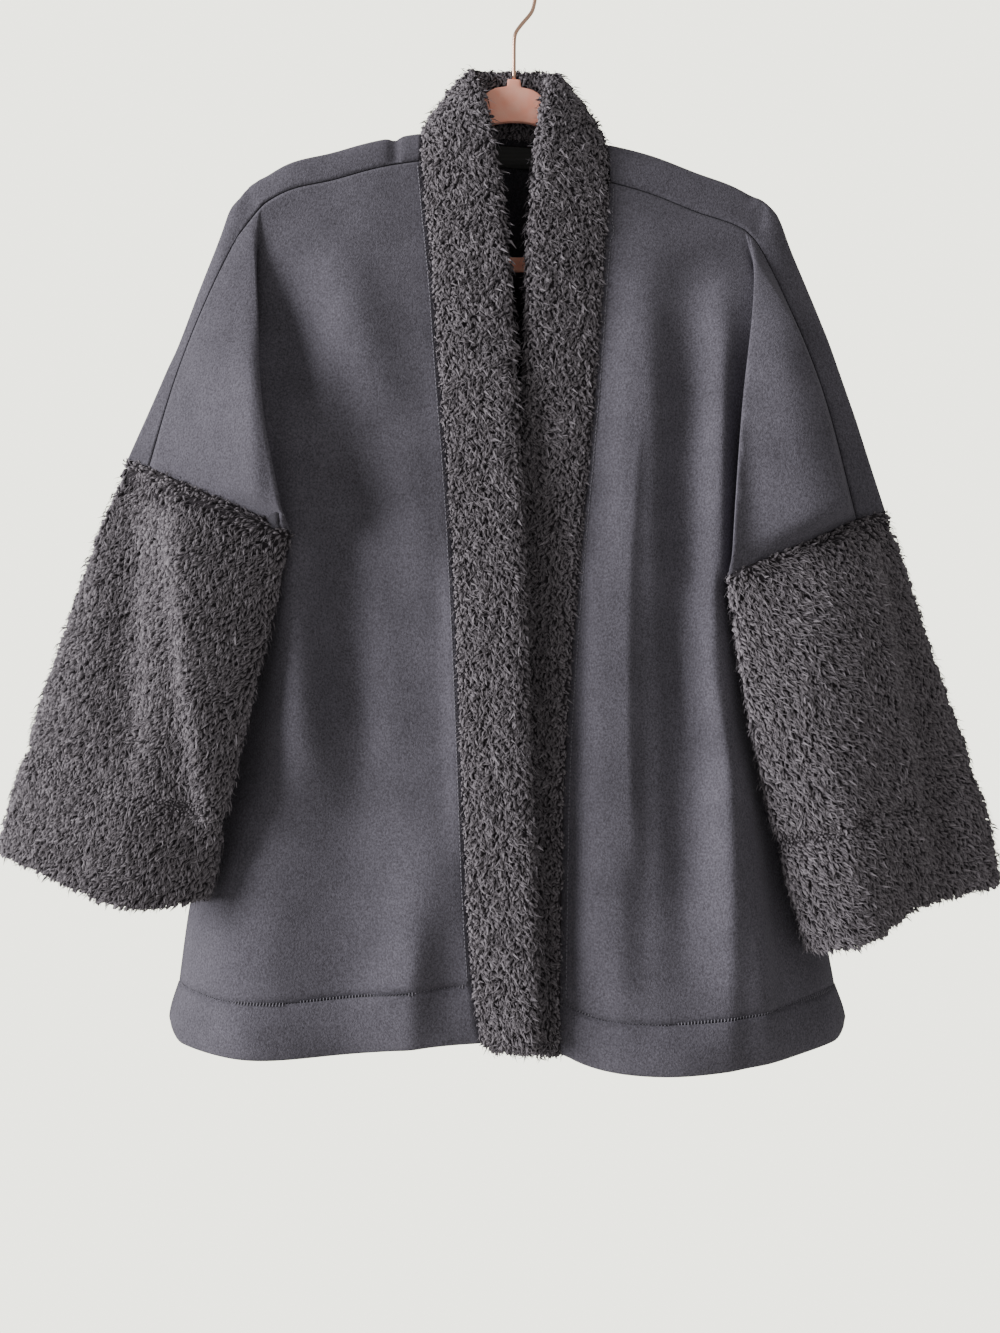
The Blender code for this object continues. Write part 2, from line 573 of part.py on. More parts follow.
def add_panel(name, points, normals, quads, lift, material):
    """A panel as a closed wall: its outer face, its inner face, and a rim drawn in from the seam."""
    used = sorted({k for quad in quads for k in quad})
    local = {k: i for i, k in enumerate(used)}
    edges = {}
    for quad in quads:
        for a, b in zip(quad, quad[1:] + quad[:1]):
            edges[(a, b)] = True
    rim = [(a, b) for a, b in edges if (b, a) not in edges]
    on_rim = {k for edge in rim for k in edge}
    inward = {k: np.zeros(3) for k in on_rim}
    for quad in quads:
        middle = points[quad].mean(0)
        for k in quad:
            if k in on_rim:
                inward[k] += middle - points[k]
    underarms = np.array([world(side, line(FRONT_LINES[side]["root"], 1)) for side in SIGN])
    outer, inner = [], []
    for k in used:
        place = points[k].copy()
        if k in on_rim:
            away = np.linalg.norm(underarms - place, axis=1).min()
            draw = SEAM_GAP * RIM_DRAW + UNDERARM_GAP * ease(1 - away / UNDERARM_REACH)
            place += inward[k] / np.linalg.norm(inward[k]) * draw
        proud, thick = lift[k]
        outer.append(place + normals[k] * proud)
        inner.append(place + normals[k] * (proud - thick))
    count = len(used)
    faces = [[local[k] for k in quad] for quad in quads]
    faces += [[local[k] + count for k in reversed(quad)] for quad in quads]
    for a, b in rim:
        quad = [local[b], local[a], local[a] + count, local[b] + count]
        if a > b:
            quad = quad[1:] + quad[:1]
        faces += [quad[:3], [quad[0], quad[2], quad[3]]]
    return add_mesh(name, outer + inner, faces, material)


def add_band(side):
    """One half of the front band: a soft flat section carried from the hem round to the centre back."""
    lines = band_lines(side)
    along = np.append(-np.array(BAND_ROWS), np.linspace(0, 1, BAND_NECK_ROWS + 1)[1:])
    arch = neck_turn(np.maximum(along, 0)) * math.pi / 2
    inside = np.stack([0 * arch, -np.sin(arch), np.cos(arch)], 1)
    seam = world(side, np.array([line(lines, s, "seam_") for s in along]) + inside * FLEECE / 2)
    free = world(side, np.array([line(lines, s, "free_") for s in along]))
    at_shoulder = ease((along - NECK_MARGIN_FROM) / NECK_MARGIN_OVER)
    at_shoulder = at_shoulder * ease((NECK_MARGIN_TO - along) / NECK_MARGIN_OVER)
    margin = 2 * SEAM_GAP + NECK_MARGIN * at_shoulder
    middle = (seam + free) / 2
    tangent = np.gradient(middle, axis=0)
    tangent[-1] = (-SIGN[side], 0, 0)
    turns = np.linspace(0, 2 * math.pi, SECTION_POINTS, endpoint=False)
    across = np.sign(np.cos(turns)) * np.abs(np.cos(turns)) ** SECTION_SOFTNESS
    thick = np.sign(np.sin(turns)) * np.abs(np.sin(turns)) ** SECTION_SOFTNESS
    points = []
    for k in range(len(along)):
        width = np.linalg.norm(free[k] - seam[k])
        way = (free[k] - seam[k]) / width
        face = np.cross(tangent[k], way)
        face /= np.linalg.norm(face)
        half = (width - margin[k]) / 2
        ring = middle[k] + way * margin[k] / 2
        ring = ring + np.outer(across * half, way) + np.outer(thick * BAND_THICK / 2, face)
        if k == len(along) - 1:
            ring[:, 0] = SIGN[side] * SEAM_GAP / 2
        points.extend(ring)
    faces = []
    for k in range(len(along) - 1):
        for j in range(SECTION_POINTS):
            a = k * SECTION_POINTS + j
            b = k * SECTION_POINTS + (j + 1) % SECTION_POINTS
            faces.append([a, b, b + SECTION_POINTS, a + SECTION_POINTS])
    last = (len(along) - 1) * SECTION_POINTS
    faces.append(list(range(SECTION_POINTS))[::-1])
    faces.append([last + j for j in range(SECTION_POINTS)])
    piece = add_mesh(f"band_{side}", points, faces, "sherpa")
    face_outwards(piece.data)
    return piece


def face_outwards(mesh):
    """Point a closed mesh's faces out."""
    shape = bmesh.new()
    shape.from_mesh(mesh)
    bmesh.ops.recalc_face_normals(shape, faces=shape.faces)
    shape.to_mesh(mesh)
    shape.free()


def add_label(panels):
    """A bare tape sewn inside the back, just under the collar."""
    left, right = (grids[0] for grids in (panels["back"][2], panels["back"][0]))
    grid = np.concatenate([right[LABEL_ROWS, -2:], left[LABEL_ROWS, -2:-1]], 1)
    towards_front = np.array([0, -1.0, 0])
    front = grid + towards_front * (FLEECE + LABEL_GAP + LABEL_THICK)
    back = grid + towards_front * (FLEECE + LABEL_GAP)
    rows, columns = grid.shape[:2]
    points = np.concatenate([front.reshape(-1, 3), back.reshape(-1, 3)])
    count = rows * columns
    faces = []
    for i in range(rows - 1):
        for j in range(columns - 1):
            a = i * columns + j
            quad = [a, a + columns, a + columns + 1, a + 1]
            faces.append(quad)
            faces.append([k + count for k in reversed(quad)])
    border = [j for j in range(columns)] + [i * columns + columns - 1 for i in range(1, rows)]
    border += [(rows - 1) * columns + j for j in reversed(range(columns - 1))]
    border += [i * columns for i in reversed(range(1, rows - 1))]
    faces += [[a, b, b + count, a + count] for a, b in zip(border, border[1:] + border[:1])]
    piece = add_mesh("neck_label", points, faces, "label")
    face_outwards(piece.data)
    return piece


def arm_top(side, out):
    """Drop of the hanger arm's top edge, which carries the shoulder from inside."""
    flat = FRONT_SEAM_BELOW[side] * (1 - math.cos(ARM_SEAT))
    seat = shoulder_top(side, out) + flat + FLEECE + ARM_CLEARANCE
    return seat + ARM_END_DIP * ease((out - ARM_DIP_FROM) / ARM_DIP_OVER)


def arm_end(side, tab):
    """Points at the end of an arm, hanging with it by their share of the tilt."""
    return tab["out"], tab["drop"] + tab["tilt"] * tilted(side, TIP, 0)


def hanger_outlines():
    """The hanger's outside and the open triangle inside it, as points (x, z) round each."""
    halves = {}
    for side, sign in SIGN.items():
        neck = (HANGER_NECK["out"], tilted(side, HANGER_NECK["out"], HANGER_NECK["drop"]))
        arm = (ARM_ENDS, arm_top(side, ARM_ENDS))
        hole_top = (HOLE_TOP["out"], HOLE_TOP["drop"])
        hole_arm = (HOLE_ARM, arm_top(side, HOLE_ARM) + ARM_HEIGHT)
        outer = np.hstack([neck, arm, arm_end(side, HANGER_END)]).T
        hole = np.hstack([hole_top, hole_arm, arm_end(side, HOLE_END)]).T
        halves[side] = [outline * (sign, -1) for outline in (outer, hole)]
    return [np.vstack([right[:0:-1], left]) for right, left in zip(halves["right"], halves["left"])]


def drawn_in(outline, amount):
    """A closed outline moved sideways, to the left of its way round."""
    onward = np.roll(outline, -1, 0) - outline
    onward /= np.linalg.norm(onward, axis=1)[:, None]
    sideways = np.stack([-onward[:, 1], onward[:, 0]], 1)
    mitre = sideways + np.roll(sideways, 1, 0)
    return outline + amount * mitre / np.maximum((mitre ** 2).sum(1) / 2, 0.5)[:, None]


def add_hanger():
    """The flat body, cut from one outline with its triangle open, edges eased."""
    half = HANGER_THICK / 2
    points, faces = [], []
    outlines = hanger_outlines()
    count = sum(len(outline) for outline in outlines)
    faced = [drawn_in(outline, HANGER_EDGE * into_body) for outline, into_body in zip(outlines, (-1, 1))]
    rim = half - HANGER_EDGE
    for depth, rings in ((-half, faced), (-rim, outlines), (rim, outlines), (half, faced)):
        points += [(x, depth, z) for ring in rings for x, z in ring]
    first = 0
    for outline in outlines:
        for i in range(len(outline)):
            a, b = first + i, first + (i + 1) % len(outline)
            faces += [[a + k, b + k, b + k + count, a + k + count] for k in (0, count, 2 * count)]
        first += len(outline)
    caps = tessellate_polygon([[Vector((x, z, 0)) for x, z in ring] for ring in faced])
    faces += [list(cap) for cap in caps] + [[k + 3 * count for k in cap[::-1]] for cap in caps]
    piece = add_mesh("hanger", np.array(points), faces, "velvet")
    face_outwards(piece.data)
    return piece


def add_hook():
    """Wire from the hanger's neck up round the hook, whose inside top is the origin."""
    bend = HOOK_RADIUS + WIRE / 2
    path = [(0, HANGER_NECK["drop"][0] - SEAM_GAP), *zip(HOOK_STEM["out"], HOOK_STEM["drop"])]
    path += [(bend * math.cos(turn), HOOK_RADIUS - bend * math.sin(turn)) for turn in HOOK_BEND]
    curve = bpy.data.curves.new("hanger_hook", "CURVE")
    curve.dimensions = "3D"
    curve.bevel_depth = WIRE / 2 * MM
    curve.bevel_resolution = 2
    curve.use_fill_caps = True
    spline = curve.splines.new("POLY")
    spline.points.add(len(path) - 1)
    for point, (x, drop) in zip(spline.points, path):
        point.co = (x * MM, 0, -drop * MM, 1)
    return add_object("hanger_hook", curve, "hook_metal")


grids = jacket_grids()
cloth_points, cloth_normals, cloth_faces, cloth_lift = weld(grids)
for panel in grids:
    stuff = "sherpa" if panel.startswith("sleeve") else "fleece"
    add_panel(panel, cloth_points, cloth_normals, cloth_faces[panel], cloth_lift[panel], stuff)
for wearer_side in SIGN:
    add_band(wearer_side)
add_label(grids)
add_hanger()
add_hook()
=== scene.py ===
import math

import bmesh
import bpy
import numpy as np
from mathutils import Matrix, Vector, noise
from mathutils.bvhtree import BVHTree


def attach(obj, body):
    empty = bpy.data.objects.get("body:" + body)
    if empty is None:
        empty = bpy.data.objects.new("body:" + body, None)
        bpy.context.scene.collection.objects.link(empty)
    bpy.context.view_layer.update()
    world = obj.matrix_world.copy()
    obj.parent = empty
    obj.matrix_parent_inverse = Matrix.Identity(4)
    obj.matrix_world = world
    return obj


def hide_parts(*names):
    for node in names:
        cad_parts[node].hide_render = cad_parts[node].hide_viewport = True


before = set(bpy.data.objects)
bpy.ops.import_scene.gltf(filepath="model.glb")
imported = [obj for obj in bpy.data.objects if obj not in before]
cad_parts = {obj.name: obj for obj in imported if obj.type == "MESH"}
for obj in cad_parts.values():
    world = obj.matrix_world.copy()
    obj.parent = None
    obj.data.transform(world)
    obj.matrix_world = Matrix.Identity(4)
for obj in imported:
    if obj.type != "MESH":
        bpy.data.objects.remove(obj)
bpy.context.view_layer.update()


# The hook: hard steel wire bent round a former, plated rose gold and pushed into the hanger's neck.
# The plating is polished, with faint lines along the wire from drawing it.

MM = 0.001


def linear(colour):
    """A colour given as an sRGB hex number, as linear red, green, blue and alpha."""
    parts = [(colour >> shift & 255) / 255 for shift in (16, 8, 0)]
    return (*(part / 12.92 if part <= 0.04045 else ((part + 0.055) / 1.055) ** 2.4 for part in parts), 1)


def add_node(tree, kind, inputs=None, **settings):
    """A node with its settings, and its inputs set to a value or linked to another node's output."""
    made = tree.nodes.new(kind)
    for name, value in settings.items():
        setattr(made, name, value)
    for name, value in (inputs or {}).items():
        socket = next(s for s in made.inputs if s.enabled and name in (s.name, s.identifier))
        if isinstance(value, bpy.types.NodeSocket):
            tree.links.new(value, socket)
        else:
            socket.default_value = value
    return made


def given(node, name=None):
    """A node's output by name, or the first one in use."""
    return next(s for s in node.outputs if s.enabled and name in (None, s.name))


def new_material(name):
    """A material with nodes, its tree and its shader."""
    material = bpy.data.materials.new(name)
    material.use_nodes = True
    return material, material.node_tree, material.node_tree.nodes["Principled BSDF"]


def sides_of(shape, rims):
    """The sides of a wall: lists of faces that meet without crossing a rim."""
    unseen = set(shape.faces)
    while unseen:
        side, queue = [], [unseen.pop()]
        while queue:
            face = queue.pop()
            side.append(face)
            near = {other for edge in face.edges if edge not in rims for other in edge.link_faces} & unseen
            unseen -= near
            queue += near
        yield side


def area_of(side):
    """The area of some faces, in square metres."""
    return sum(face.calc_area() for face in side)


def larger_side(shape, rims):
    """The faces of a wall's larger side, which is the outside of a tube or a bar."""
    return max(sides_of(shape, rims), key=area_of)


def solids_tree(*nodes):
    """A search tree over some CAD solids."""
    points, faces = [], []
    for node in nodes:
        base = len(points)
        points += [vertex.co.copy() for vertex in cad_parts[node].data.vertices]
        faces += [[base + k for k in face.vertices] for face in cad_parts[node].data.polygons]
    return BVHTree.FromPolygons(points, faces)


def other_solids(node):
    """A search tree over all the CAD solids but one."""
    return solids_tree(*(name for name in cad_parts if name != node))


SEAM_REACH = 2.5 * MM           # an edge this close to the next solid is sewn to it
SAME_POINT = 0.002 * MM         # corners of loose triangles this close are one point
FLAT_TURN = math.radians(40)    # triangles that turn less than this are paired
RIM_TURN = math.radians(50)     # faces that turn more than this meet at a rim
ROUNDING = 2                    # how often a piece is subdivided


def finer_copy(node, name, crease=0.0, outside_of=larger_side):
    """A smooth piece on a node's own form: its triangles are paired to quads and subdivided. Its sewn
    edges stay where they are, and its free edges are rounded, the less the higher the crease."""
    shape = bmesh.new()
    shape.from_mesh(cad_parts[node].data)
    bmesh.ops.remove_doubles(shape, verts=shape.verts, dist=SAME_POINT)
    bmesh.ops.join_triangles(shape, faces=shape.faces, angle_face_threshold=FLAT_TURN,
                             angle_shape_threshold=math.pi)
    sharpness = shape.edges.layers.float.new("crease_edge")
    rims = [edge for edge in shape.edges if edge.is_manifold and edge.calc_face_angle() > RIM_TURN]
    others = other_solids(node)
    for edge in rims:
        sewn = all(others.find_nearest(vertex.co)[3] < SEAM_REACH for vertex in edge.verts)
        edge[sharpness] = 1.0 if sewn else crease
    outside = shape.verts.layers.float.new("outside")
    for face in outside_of(shape, set(rims)):
        for vertex in face.verts:
            vertex[outside] = 1.0
    mesh = bpy.data.meshes.new(name)
    shape.to_mesh(mesh)
    shape.free()
    for attribute in [a.name for a in mesh.attributes if a.name in ("custom_normal", "sharp_edge")]:
        mesh.attributes.remove(mesh.attributes[attribute])
    for layer in list(mesh.uv_layers):
        mesh.uv_layers.remove(layer)
    mesh.materials.clear()
    piece = bpy.data.objects.new(name, mesh)
    bpy.context.scene.collection.objects.link(piece)
    finish = piece.modifiers.new("rounding", "SUBSURF")
    finish.levels = finish.render_levels = ROUNDING
    return made_plain(piece)


def made_plain(piece):
    """The piece with its modifiers worked into a plain mesh."""
    shown = piece.evaluated_get(bpy.context.evaluated_depsgraph_get())
    mesh = bpy.data.meshes.new_from_object(shown)
    piece.modifiers.clear()
    piece.data = mesh
    mesh.name = piece.name
    mesh.shade_smooth()
    return piece


def finish_piece(piece, material, slot, *nodes):
    """Give a piece its material, let it ride with the jacket, and let it stand for its nodes."""
    piece.data.materials.clear()
    piece.data.materials.append(material)
    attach(piece, "root")
    if nodes:
        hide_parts(*nodes)


hook = finer_copy("hanger_hook", "hook")

# Warm and bright, with long soft highlights that the drawing lines break up a little.
plating, tree, shader = new_material("rose gold plated steel wire")
shader.inputs["Base Color"].default_value = linear(0xE3B9A2)
shader.inputs["Metallic"].default_value = 1.0
DRAW_LINE = 0.4 * MM    # the real lines are finer, and these are as coarse as they need to be to show
LINE_RUN = 0.05         # width of a line as a share of its length
place = add_node(tree, "ShaderNodeTexCoord")
along_wire = add_node(tree, "ShaderNodeMapping",
                      {"Vector": given(place, "Object"), "Scale": (1, 1, LINE_RUN)})
lines = add_node(tree, "ShaderNodeTexNoise",
                 {"Vector": given(along_wire), "Scale": 1 / DRAW_LINE, "Detail": 2.0})
polish = add_node(tree, "ShaderNodeMapRange", {"Value": given(lines), "To Min": 0.16, "To Max": 0.34})
tree.links.new(given(polish), shader.inputs["Roughness"])
finish_piece(hook, plating, "hook_metal", "hanger_hook")


# The hanger: a flat moulded plastic body with a bar, covered all over in pink flock. The short fibres
# catch light at the edges and lie in cloudy patches where they were brushed.

# Dull and soft, with a pale rim where the fibres are seen from the side.
velvet, tree, shader = new_material("pink flocked velvet")
FLOCK_GRAIN = 0.5 * MM      # flock fibres are far finer, and a grain this coarse still shows
FLOCK_PATCH = 9 * MM
place = add_node(tree, "ShaderNodeTexCoord")
patch = add_node(tree, "ShaderNodeTexNoise",
                 {"Vector": given(place, "Object"), "Scale": 1 / FLOCK_PATCH, "Detail": 3.0})
grain = add_node(tree, "ShaderNodeTexNoise",
                 {"Vector": given(place, "Object"), "Scale": 1 / FLOCK_GRAIN, "Detail": 2.0})
brushed = add_node(tree, "ShaderNodeMapRange", {"Value": given(patch), "From Min": 0.3, "From Max": 0.7})
colour = add_node(tree, "ShaderNodeMix",
                  {"Factor": given(brushed), "A": linear(0xFFAC95), "B": linear(0xFFBDA9)}, data_type="RGBA")
tree.links.new(given(colour), shader.inputs["Base Color"])
shader.inputs["Roughness"].default_value = 0.92
shader.inputs["Sheen Weight"].default_value = 1.0
shader.inputs["Sheen Roughness"].default_value = 0.35
shader.inputs["Sheen Tint"].default_value = linear(0xFFAE98)
bump = add_node(tree, "ShaderNodeBump", {"Height": given(grain), "Strength": 0.5, "Distance": 0.3 * MM})
tree.links.new(given(bump), shader.inputs["Normal"])
hanger = finer_copy("hanger", "hanger_body", crease=0.6)
finish_piece(hanger, velvet, "velvet", "hanger")


# The back: grey fleece cut in one with both upper sleeves and brought over the shoulders to a seam in
# front. It hangs from the hanger's arms in long soft folds, with a small pleat caught in beside the collar.

# Dull and soft, with a speckle from its matted nap and a faint bloom at the edges. Its inside has painted
# shade.
fleece, tree, shader = new_material("grey anti-pill polyester fleece")
PEBBLE = 1.4 * MM       # the matted nap draws together into small pebbles
UPRIGHT = 0.85          # width of a pebble as a share of its height
FIBRE = 0.8 * MM        # single fibres are far finer, and these are as coarse as they need to be to show
NAP_PATCH = 38 * MM     # cloudy patches where the nap was brushed one way or another
INSIDE_PAINTED_SHADE = 0.35      # painted shade: the inside's colour as a share of the outside's
place = add_node(tree, "ShaderNodeTexCoord")
upright = add_node(tree, "ShaderNodeMapping",
                   {"Vector": given(place, "Object"), "Scale": (1, 1, UPRIGHT)})
pebbles = add_node(tree, "ShaderNodeTexNoise",
                   {"Vector": given(upright), "Scale": 1 / PEBBLE, "Detail": 2.0, "Roughness": 0.6})
fibres = add_node(tree, "ShaderNodeTexNoise",
                  {"Vector": given(place, "Object"), "Scale": 1 / FIBRE, "Detail": 1.0})
naps = add_node(tree, "ShaderNodeTexNoise",
                {"Vector": given(place, "Object"), "Scale": 1 / NAP_PATCH, "Detail": 3.0})
speckle = add_node(tree, "ShaderNodeMapRange", {"Value": given(pebbles), "From Min": 0.3, "From Max": 0.7})
colour = add_node(tree, "ShaderNodeMix",
                  {"Factor": given(speckle), "A": linear(0x454249), "B": linear(0x66636D)}, data_type="RGBA")
cloud = add_node(tree, "ShaderNodeMapRange",
                 {"Value": given(naps), "From Min": 0.3, "From Max": 0.7, "To Min": 0.88, "To Max": 1.10})
outside = add_node(tree, "ShaderNodeAttribute", attribute_name="outside")
# The outside takes the nap's cloudy patches, and the inside is darkened as painted shade.
cloud_and_inside_shade = add_node(tree, "ShaderNodeMapRange",
                  {"Value": given(outside, "Fac"), "To Min": INSIDE_PAINTED_SHADE, "To Max": given(cloud)})
shade = add_node(tree, "ShaderNodeVectorMath",
                 {"Vector": given(colour, "Result"), "Scale": given(cloud_and_inside_shade)}, operation="SCALE")
tree.links.new(given(shade), shader.inputs["Base Color"])
shader.inputs["Roughness"].default_value = 0.95
shader.inputs["Specular IOR Level"].default_value = 0.2
shader.inputs["Sheen Weight"].default_value = 0.12
shader.inputs["Sheen Roughness"].default_value = 0.5
shader.inputs["Sheen Tint"].default_value = linear(0xB9B5C2)
height = add_node(tree, "ShaderNodeMath",
                  {"Value": given(pebbles), "Value_001": given(fibres)}, operation="ADD")
bump = add_node(tree, "ShaderNodeBump", {"Height": given(height), "Strength": 0.55, "Distance": 0.7 * MM})
tree.links.new(given(bump), shader.inputs["Normal"])


def table(columns, *rows):
    """A short table as named columns of numbers."""
    return dict(zip(columns.split(), np.array(rows, float).T))


def ease(s):
    """0 below 0, 1 above 1, and a smooth step between."""
    s = np.clip(s, 0, 1)
    return s * s * (3 - 2 * s)


def points_of(piece):
    """A piece's points as an array, in millimetres."""
    flat = np.zeros(len(piece.data.vertices) * 3, np.float32)
    piece.data.vertices.foreach_get("co", flat)
    return flat.reshape(-1, 3).astype(float) / MM


def put_points(piece, points):
    """Put a piece's points at places in millimetres."""
    piece.data.vertices.foreach_set("co", (points * MM).astype(np.float32).ravel())
    piece.data.update()


CREASE_RISE = 0.25      # share of its length over which a crease rises
CREASE_FALL = 0.3       # share over which it fades out again


def creased(points, creases, outward):
    """How far points move along Y for the creases: soft ridges (height over 0) and troughs, each along a
    line from one place down to another, fading at its ends, and as wide to its left and right as it says.
    `outward` is the way out of the cloth."""
    moves = np.zeros(len(points))
    for k in range(len(creases["height"])):
        crease = {name: column[k] for name, column in creases.items()}
        start = np.array((crease["from_x"], crease["from_z"]))
        way = np.array((crease["to_x"], crease["to_z"])) - start
        length = np.linalg.norm(way)
        way /= length
        offset = points[:, [0, 2]] - start
        along = offset @ way / length
        aside = offset @ (-way[1], way[0]) - crease["bow"] * np.sin(np.clip(along, 0, 1) * math.pi)
        fade = ease(along / CREASE_RISE) * ease((1 - along) / CREASE_FALL)
        aside /= np.where(aside < 0, crease["left"], crease["right"])
        moves += outward * crease["height"] * fade * np.exp(-(aside ** 2))
    return moves


def uneven(points, size, amount):
    """How far points move in or out for broad, low lumps, as cloth that hangs is never quite even."""
    return amount * np.array([noise.noise(Vector(point / size)) for point in points])


def distance_to(piece, *nodes):
    """How far a piece's points are from the nearest of some CAD solids, in millimetres."""
    tree = solids_tree(*nodes)
    return np.array([tree.find_nearest(vertex.co)[3] for vertex in piece.data.vertices]) / MM


HELD = 15.0             # folds fade out over this length towards a seam
LUMP_SIZE = 45.0        # length and height of the broad lumps in hanging cloth
LUMP_HEIGHT = 1.1


def hang(piece, creases, outward, sewn_to):
    """Give a panel its creases and lumps, which fade out where it is sewn to other pieces."""
    points = points_of(piece)
    free = ease(distance_to(piece, *sewn_to) / HELD)
    points[:, 1] += free * (creased(points, creases, outward) + uneven(points, LUMP_SIZE, LUMP_HEIGHT))
    put_points(piece, points)


LEAST_SIDE = 0.004      # in square metres: smaller sides are the cut edges of the cloth
ACROSS = 120 * MM       # cloth no further off than this is across the jacket's hollow
OFF_CLOTH = 0.5         # a look starts this far off the cloth, in millimetres
MOSTLY = 0.5


def clear_sides(shape, rims):
    """The faces on a panel's outside: the sides that mostly look away from the jacket, and not at other
    cloth across its hollow."""
    cloth = solids_tree(*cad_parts)
    outside = []
    for side in sides_of(shape, rims):
        clear = [face for face in side if cloth.ray_cast(
            face.calc_center_median() + face.normal * OFF_CLOTH * MM, face.normal, ACROSS)[0] is None]
        if area_of(side) > LEAST_SIDE and area_of(clear) > MOSTLY * area_of(side):
            outside += side
    return outside


def normals_of(piece):
    """The directions that a piece's points face."""
    flat = np.zeros(len(piece.data.vertices) * 3, np.float32)
    piece.data.vertices.foreach_get("normal", flat)
    return flat.reshape(-1, 3)


def outside_share(piece):
    """1 for a piece's points on its outside, and 0 for the others."""
    share = np.zeros(len(piece.data.vertices))
    piece.data.attributes["outside"].data.foreach_get("value", share)
    return share


def draw_in(piece, depth):
    """Press a panel's outside in by so many millimetres at each point."""
    pressed = (depth * outside_share(piece))[:, None]
    put_points(piece, points_of(piece) - pressed * normals_of(piece))


SEAM_WIDTH = 3.0        # the stitching draws cloth in over this width


def groove(piece, depth, *sewn_to):
    """How deep the stitching of a seam pulls a panel in, next to the pieces that it is sewn to."""
    return depth * np.exp(-((distance_to(piece, *sewn_to) / SEAM_WIDTH) ** 2))


SHOULDER_GROOVE = 0.5
HEM_GROOVE = 0.25
CREASE_COLUMNS = "from_x from_z to_x to_z left right height bow"    # in millimetres
BACK_CREASES = table(
    CREASE_COLUMNS,
    (-60, -190, -38, -420, 14, 16, -2.5, 6),
    (70, -200, 42, -470, 15, 13, -2.5, -7),
    (-150, -230, -120, -560, 18, 16, 3, 8),
    (155, -240, 132, -520, 15, 18, 3, -6),
    (-175, -480, -110, -600, 12, 10, -3, 5),
    (172, -510, 118, -640, 11, 12, -3, -4),
    (10, -560, 4, -860, 22, 26, 2.5, 5),
    (-205, -640, -212, -860, 14, 12, 3, 3),
    (196, -650, 204, -860, 15, 13, 3, -3),
)

back = finer_copy("back", "back_panel", crease=0.5, outside_of=clear_sides)
FRONT_NODES = ("front_right", "front_left", "band_right", "band_left", "hem_front_right", "hem_front_left")
BACK_SEWN = FRONT_NODES + ("sleeve_right", "sleeve_left")
hang(back, BACK_CREASES, 1, BACK_SEWN)

# The hanger's ends round the shoulders out and up at two places (x, z).
SHOULDER_ROUND = {"places": ((-208, -195), (197, -208)), "size": 11, "height": 4.5, "out": 0.6, "up": 0.8}
points = points_of(back)
for x, z in SHOULDER_ROUND["places"]:
    near = np.exp(-((points[:, 0] - x) ** 2 + (points[:, 2] - z) ** 2) / SHOULDER_ROUND["size"] ** 2)
    way = (math.copysign(SHOULDER_ROUND["out"], x), 0, SHOULDER_ROUND["up"])
    points += SHOULDER_ROUND["height"] * near[:, None] * way
put_points(back, points)

# The pleat beside the collar fades out at its foot and its top, and doesn't go on behind the shoulder.
TUCK = {"x": -95, "top": -154, "foot": -188, "fade": 16, "half_width": 4.2, "depth": 2.8, "behind": 6}
points = points_of(back)
from_foot = ease((points[:, 2] - TUCK["foot"]) / TUCK["fade"])
from_top = ease((TUCK["top"] + TUCK["fade"] - points[:, 2]) / TUCK["fade"])
aside = (points[:, 0] - TUCK["x"]) / TUCK["half_width"]
pleat = from_foot * from_top * np.exp(-(aside ** 2)) * (points[:, 1] < TUCK["behind"])
shoulder_seam = groove(back, SHOULDER_GROOVE, "front_right", "front_left")
hem_seam = groove(back, HEM_GROOVE, "hem_back")
draw_in(back, shoulder_seam + hem_seam + TUCK["depth"] * pleat)
finish_piece(back, fleece, "fleece", "back")


# The fronts: the same fleece, each cut in one with the front of its upper sleeve and joined to the back
# along the shoulder. They hang from that seam with uneven vertical folds.

FRONT_CREASES = {
    "right": table(
        CREASE_COLUMNS,
        (-180, -300, -154, -720, 34, 42, 28, 0),
        (-128, -300, -107, -720, 22, 40, -15, 0),
        (-185, -600, -178, -880, 20, 60, 2, 0),
        (-58, -470, -58, -740, 32, 16, -5, 0),
        (-122, -600, -130, -1000, 52, 48, -17, 0),
        (-70, -760, -88, -960, 10, 10, 3, 0),
        (-228, -700, -232, -870, 18, 18, 3, 2),
        (-205, -290, -192, -520, 50, 10, 9, 0),
        (-140, -400, -132, -660, 20, 26, -12, 0),
    ),
    "left": table(
        CREASE_COLUMNS,
        (62, -440, 54, -900, 14, 16, 10, 0),
        (96, -270, 95, -900, 13, 13, -7, 0),
        (158, -270, 162, -960, 44, 12, 14, 0),
        (172, -600, 196, -880, 30, 9, 14, 0),
        (216, -230, 276, -560, 66, 11, 32, 0),
    ),
}
SEAM_SHUT = 4.5         # the widest seam that is closed, in millimetres
SEAM_EASE = 1.5         # seams narrower by this much are closed fully


def close_seam(piece, node):
    """Bring the edge of a panel up to the piece that it is sewn to, so that no light shows between them."""
    tree = solids_tree(node)
    for vertex in piece.data.vertices:
        place, apart = tree.find_nearest(vertex.co)[0::3]
        vertex.co += (place - vertex.co) * float(ease((SEAM_SHUT - apart / MM) / SEAM_EASE))
    piece.data.update()


fronts = {}
for side, creases in FRONT_CREASES.items():
    piece = finer_copy(f"front_{side}", f"front_panel_{side}", crease=0.5, outside_of=clear_sides)
    hang(piece, creases, -1, ("back", "hem_back", f"band_{side}", f"sleeve_{side}"))
    draw_in(piece, groove(piece, SHOULDER_GROOVE, "back") + groove(piece, HEM_GROOVE, f"hem_front_{side}"))
    close_seam(piece, f"band_{side}")
    finish_piece(piece, fleece, "fleece", f"front_{side}")
    fronts[side] = piece


# The hem: the lower edge of each panel turned up double and stitched down, so that it stands a little
# proud. It is the panels' own fleece.

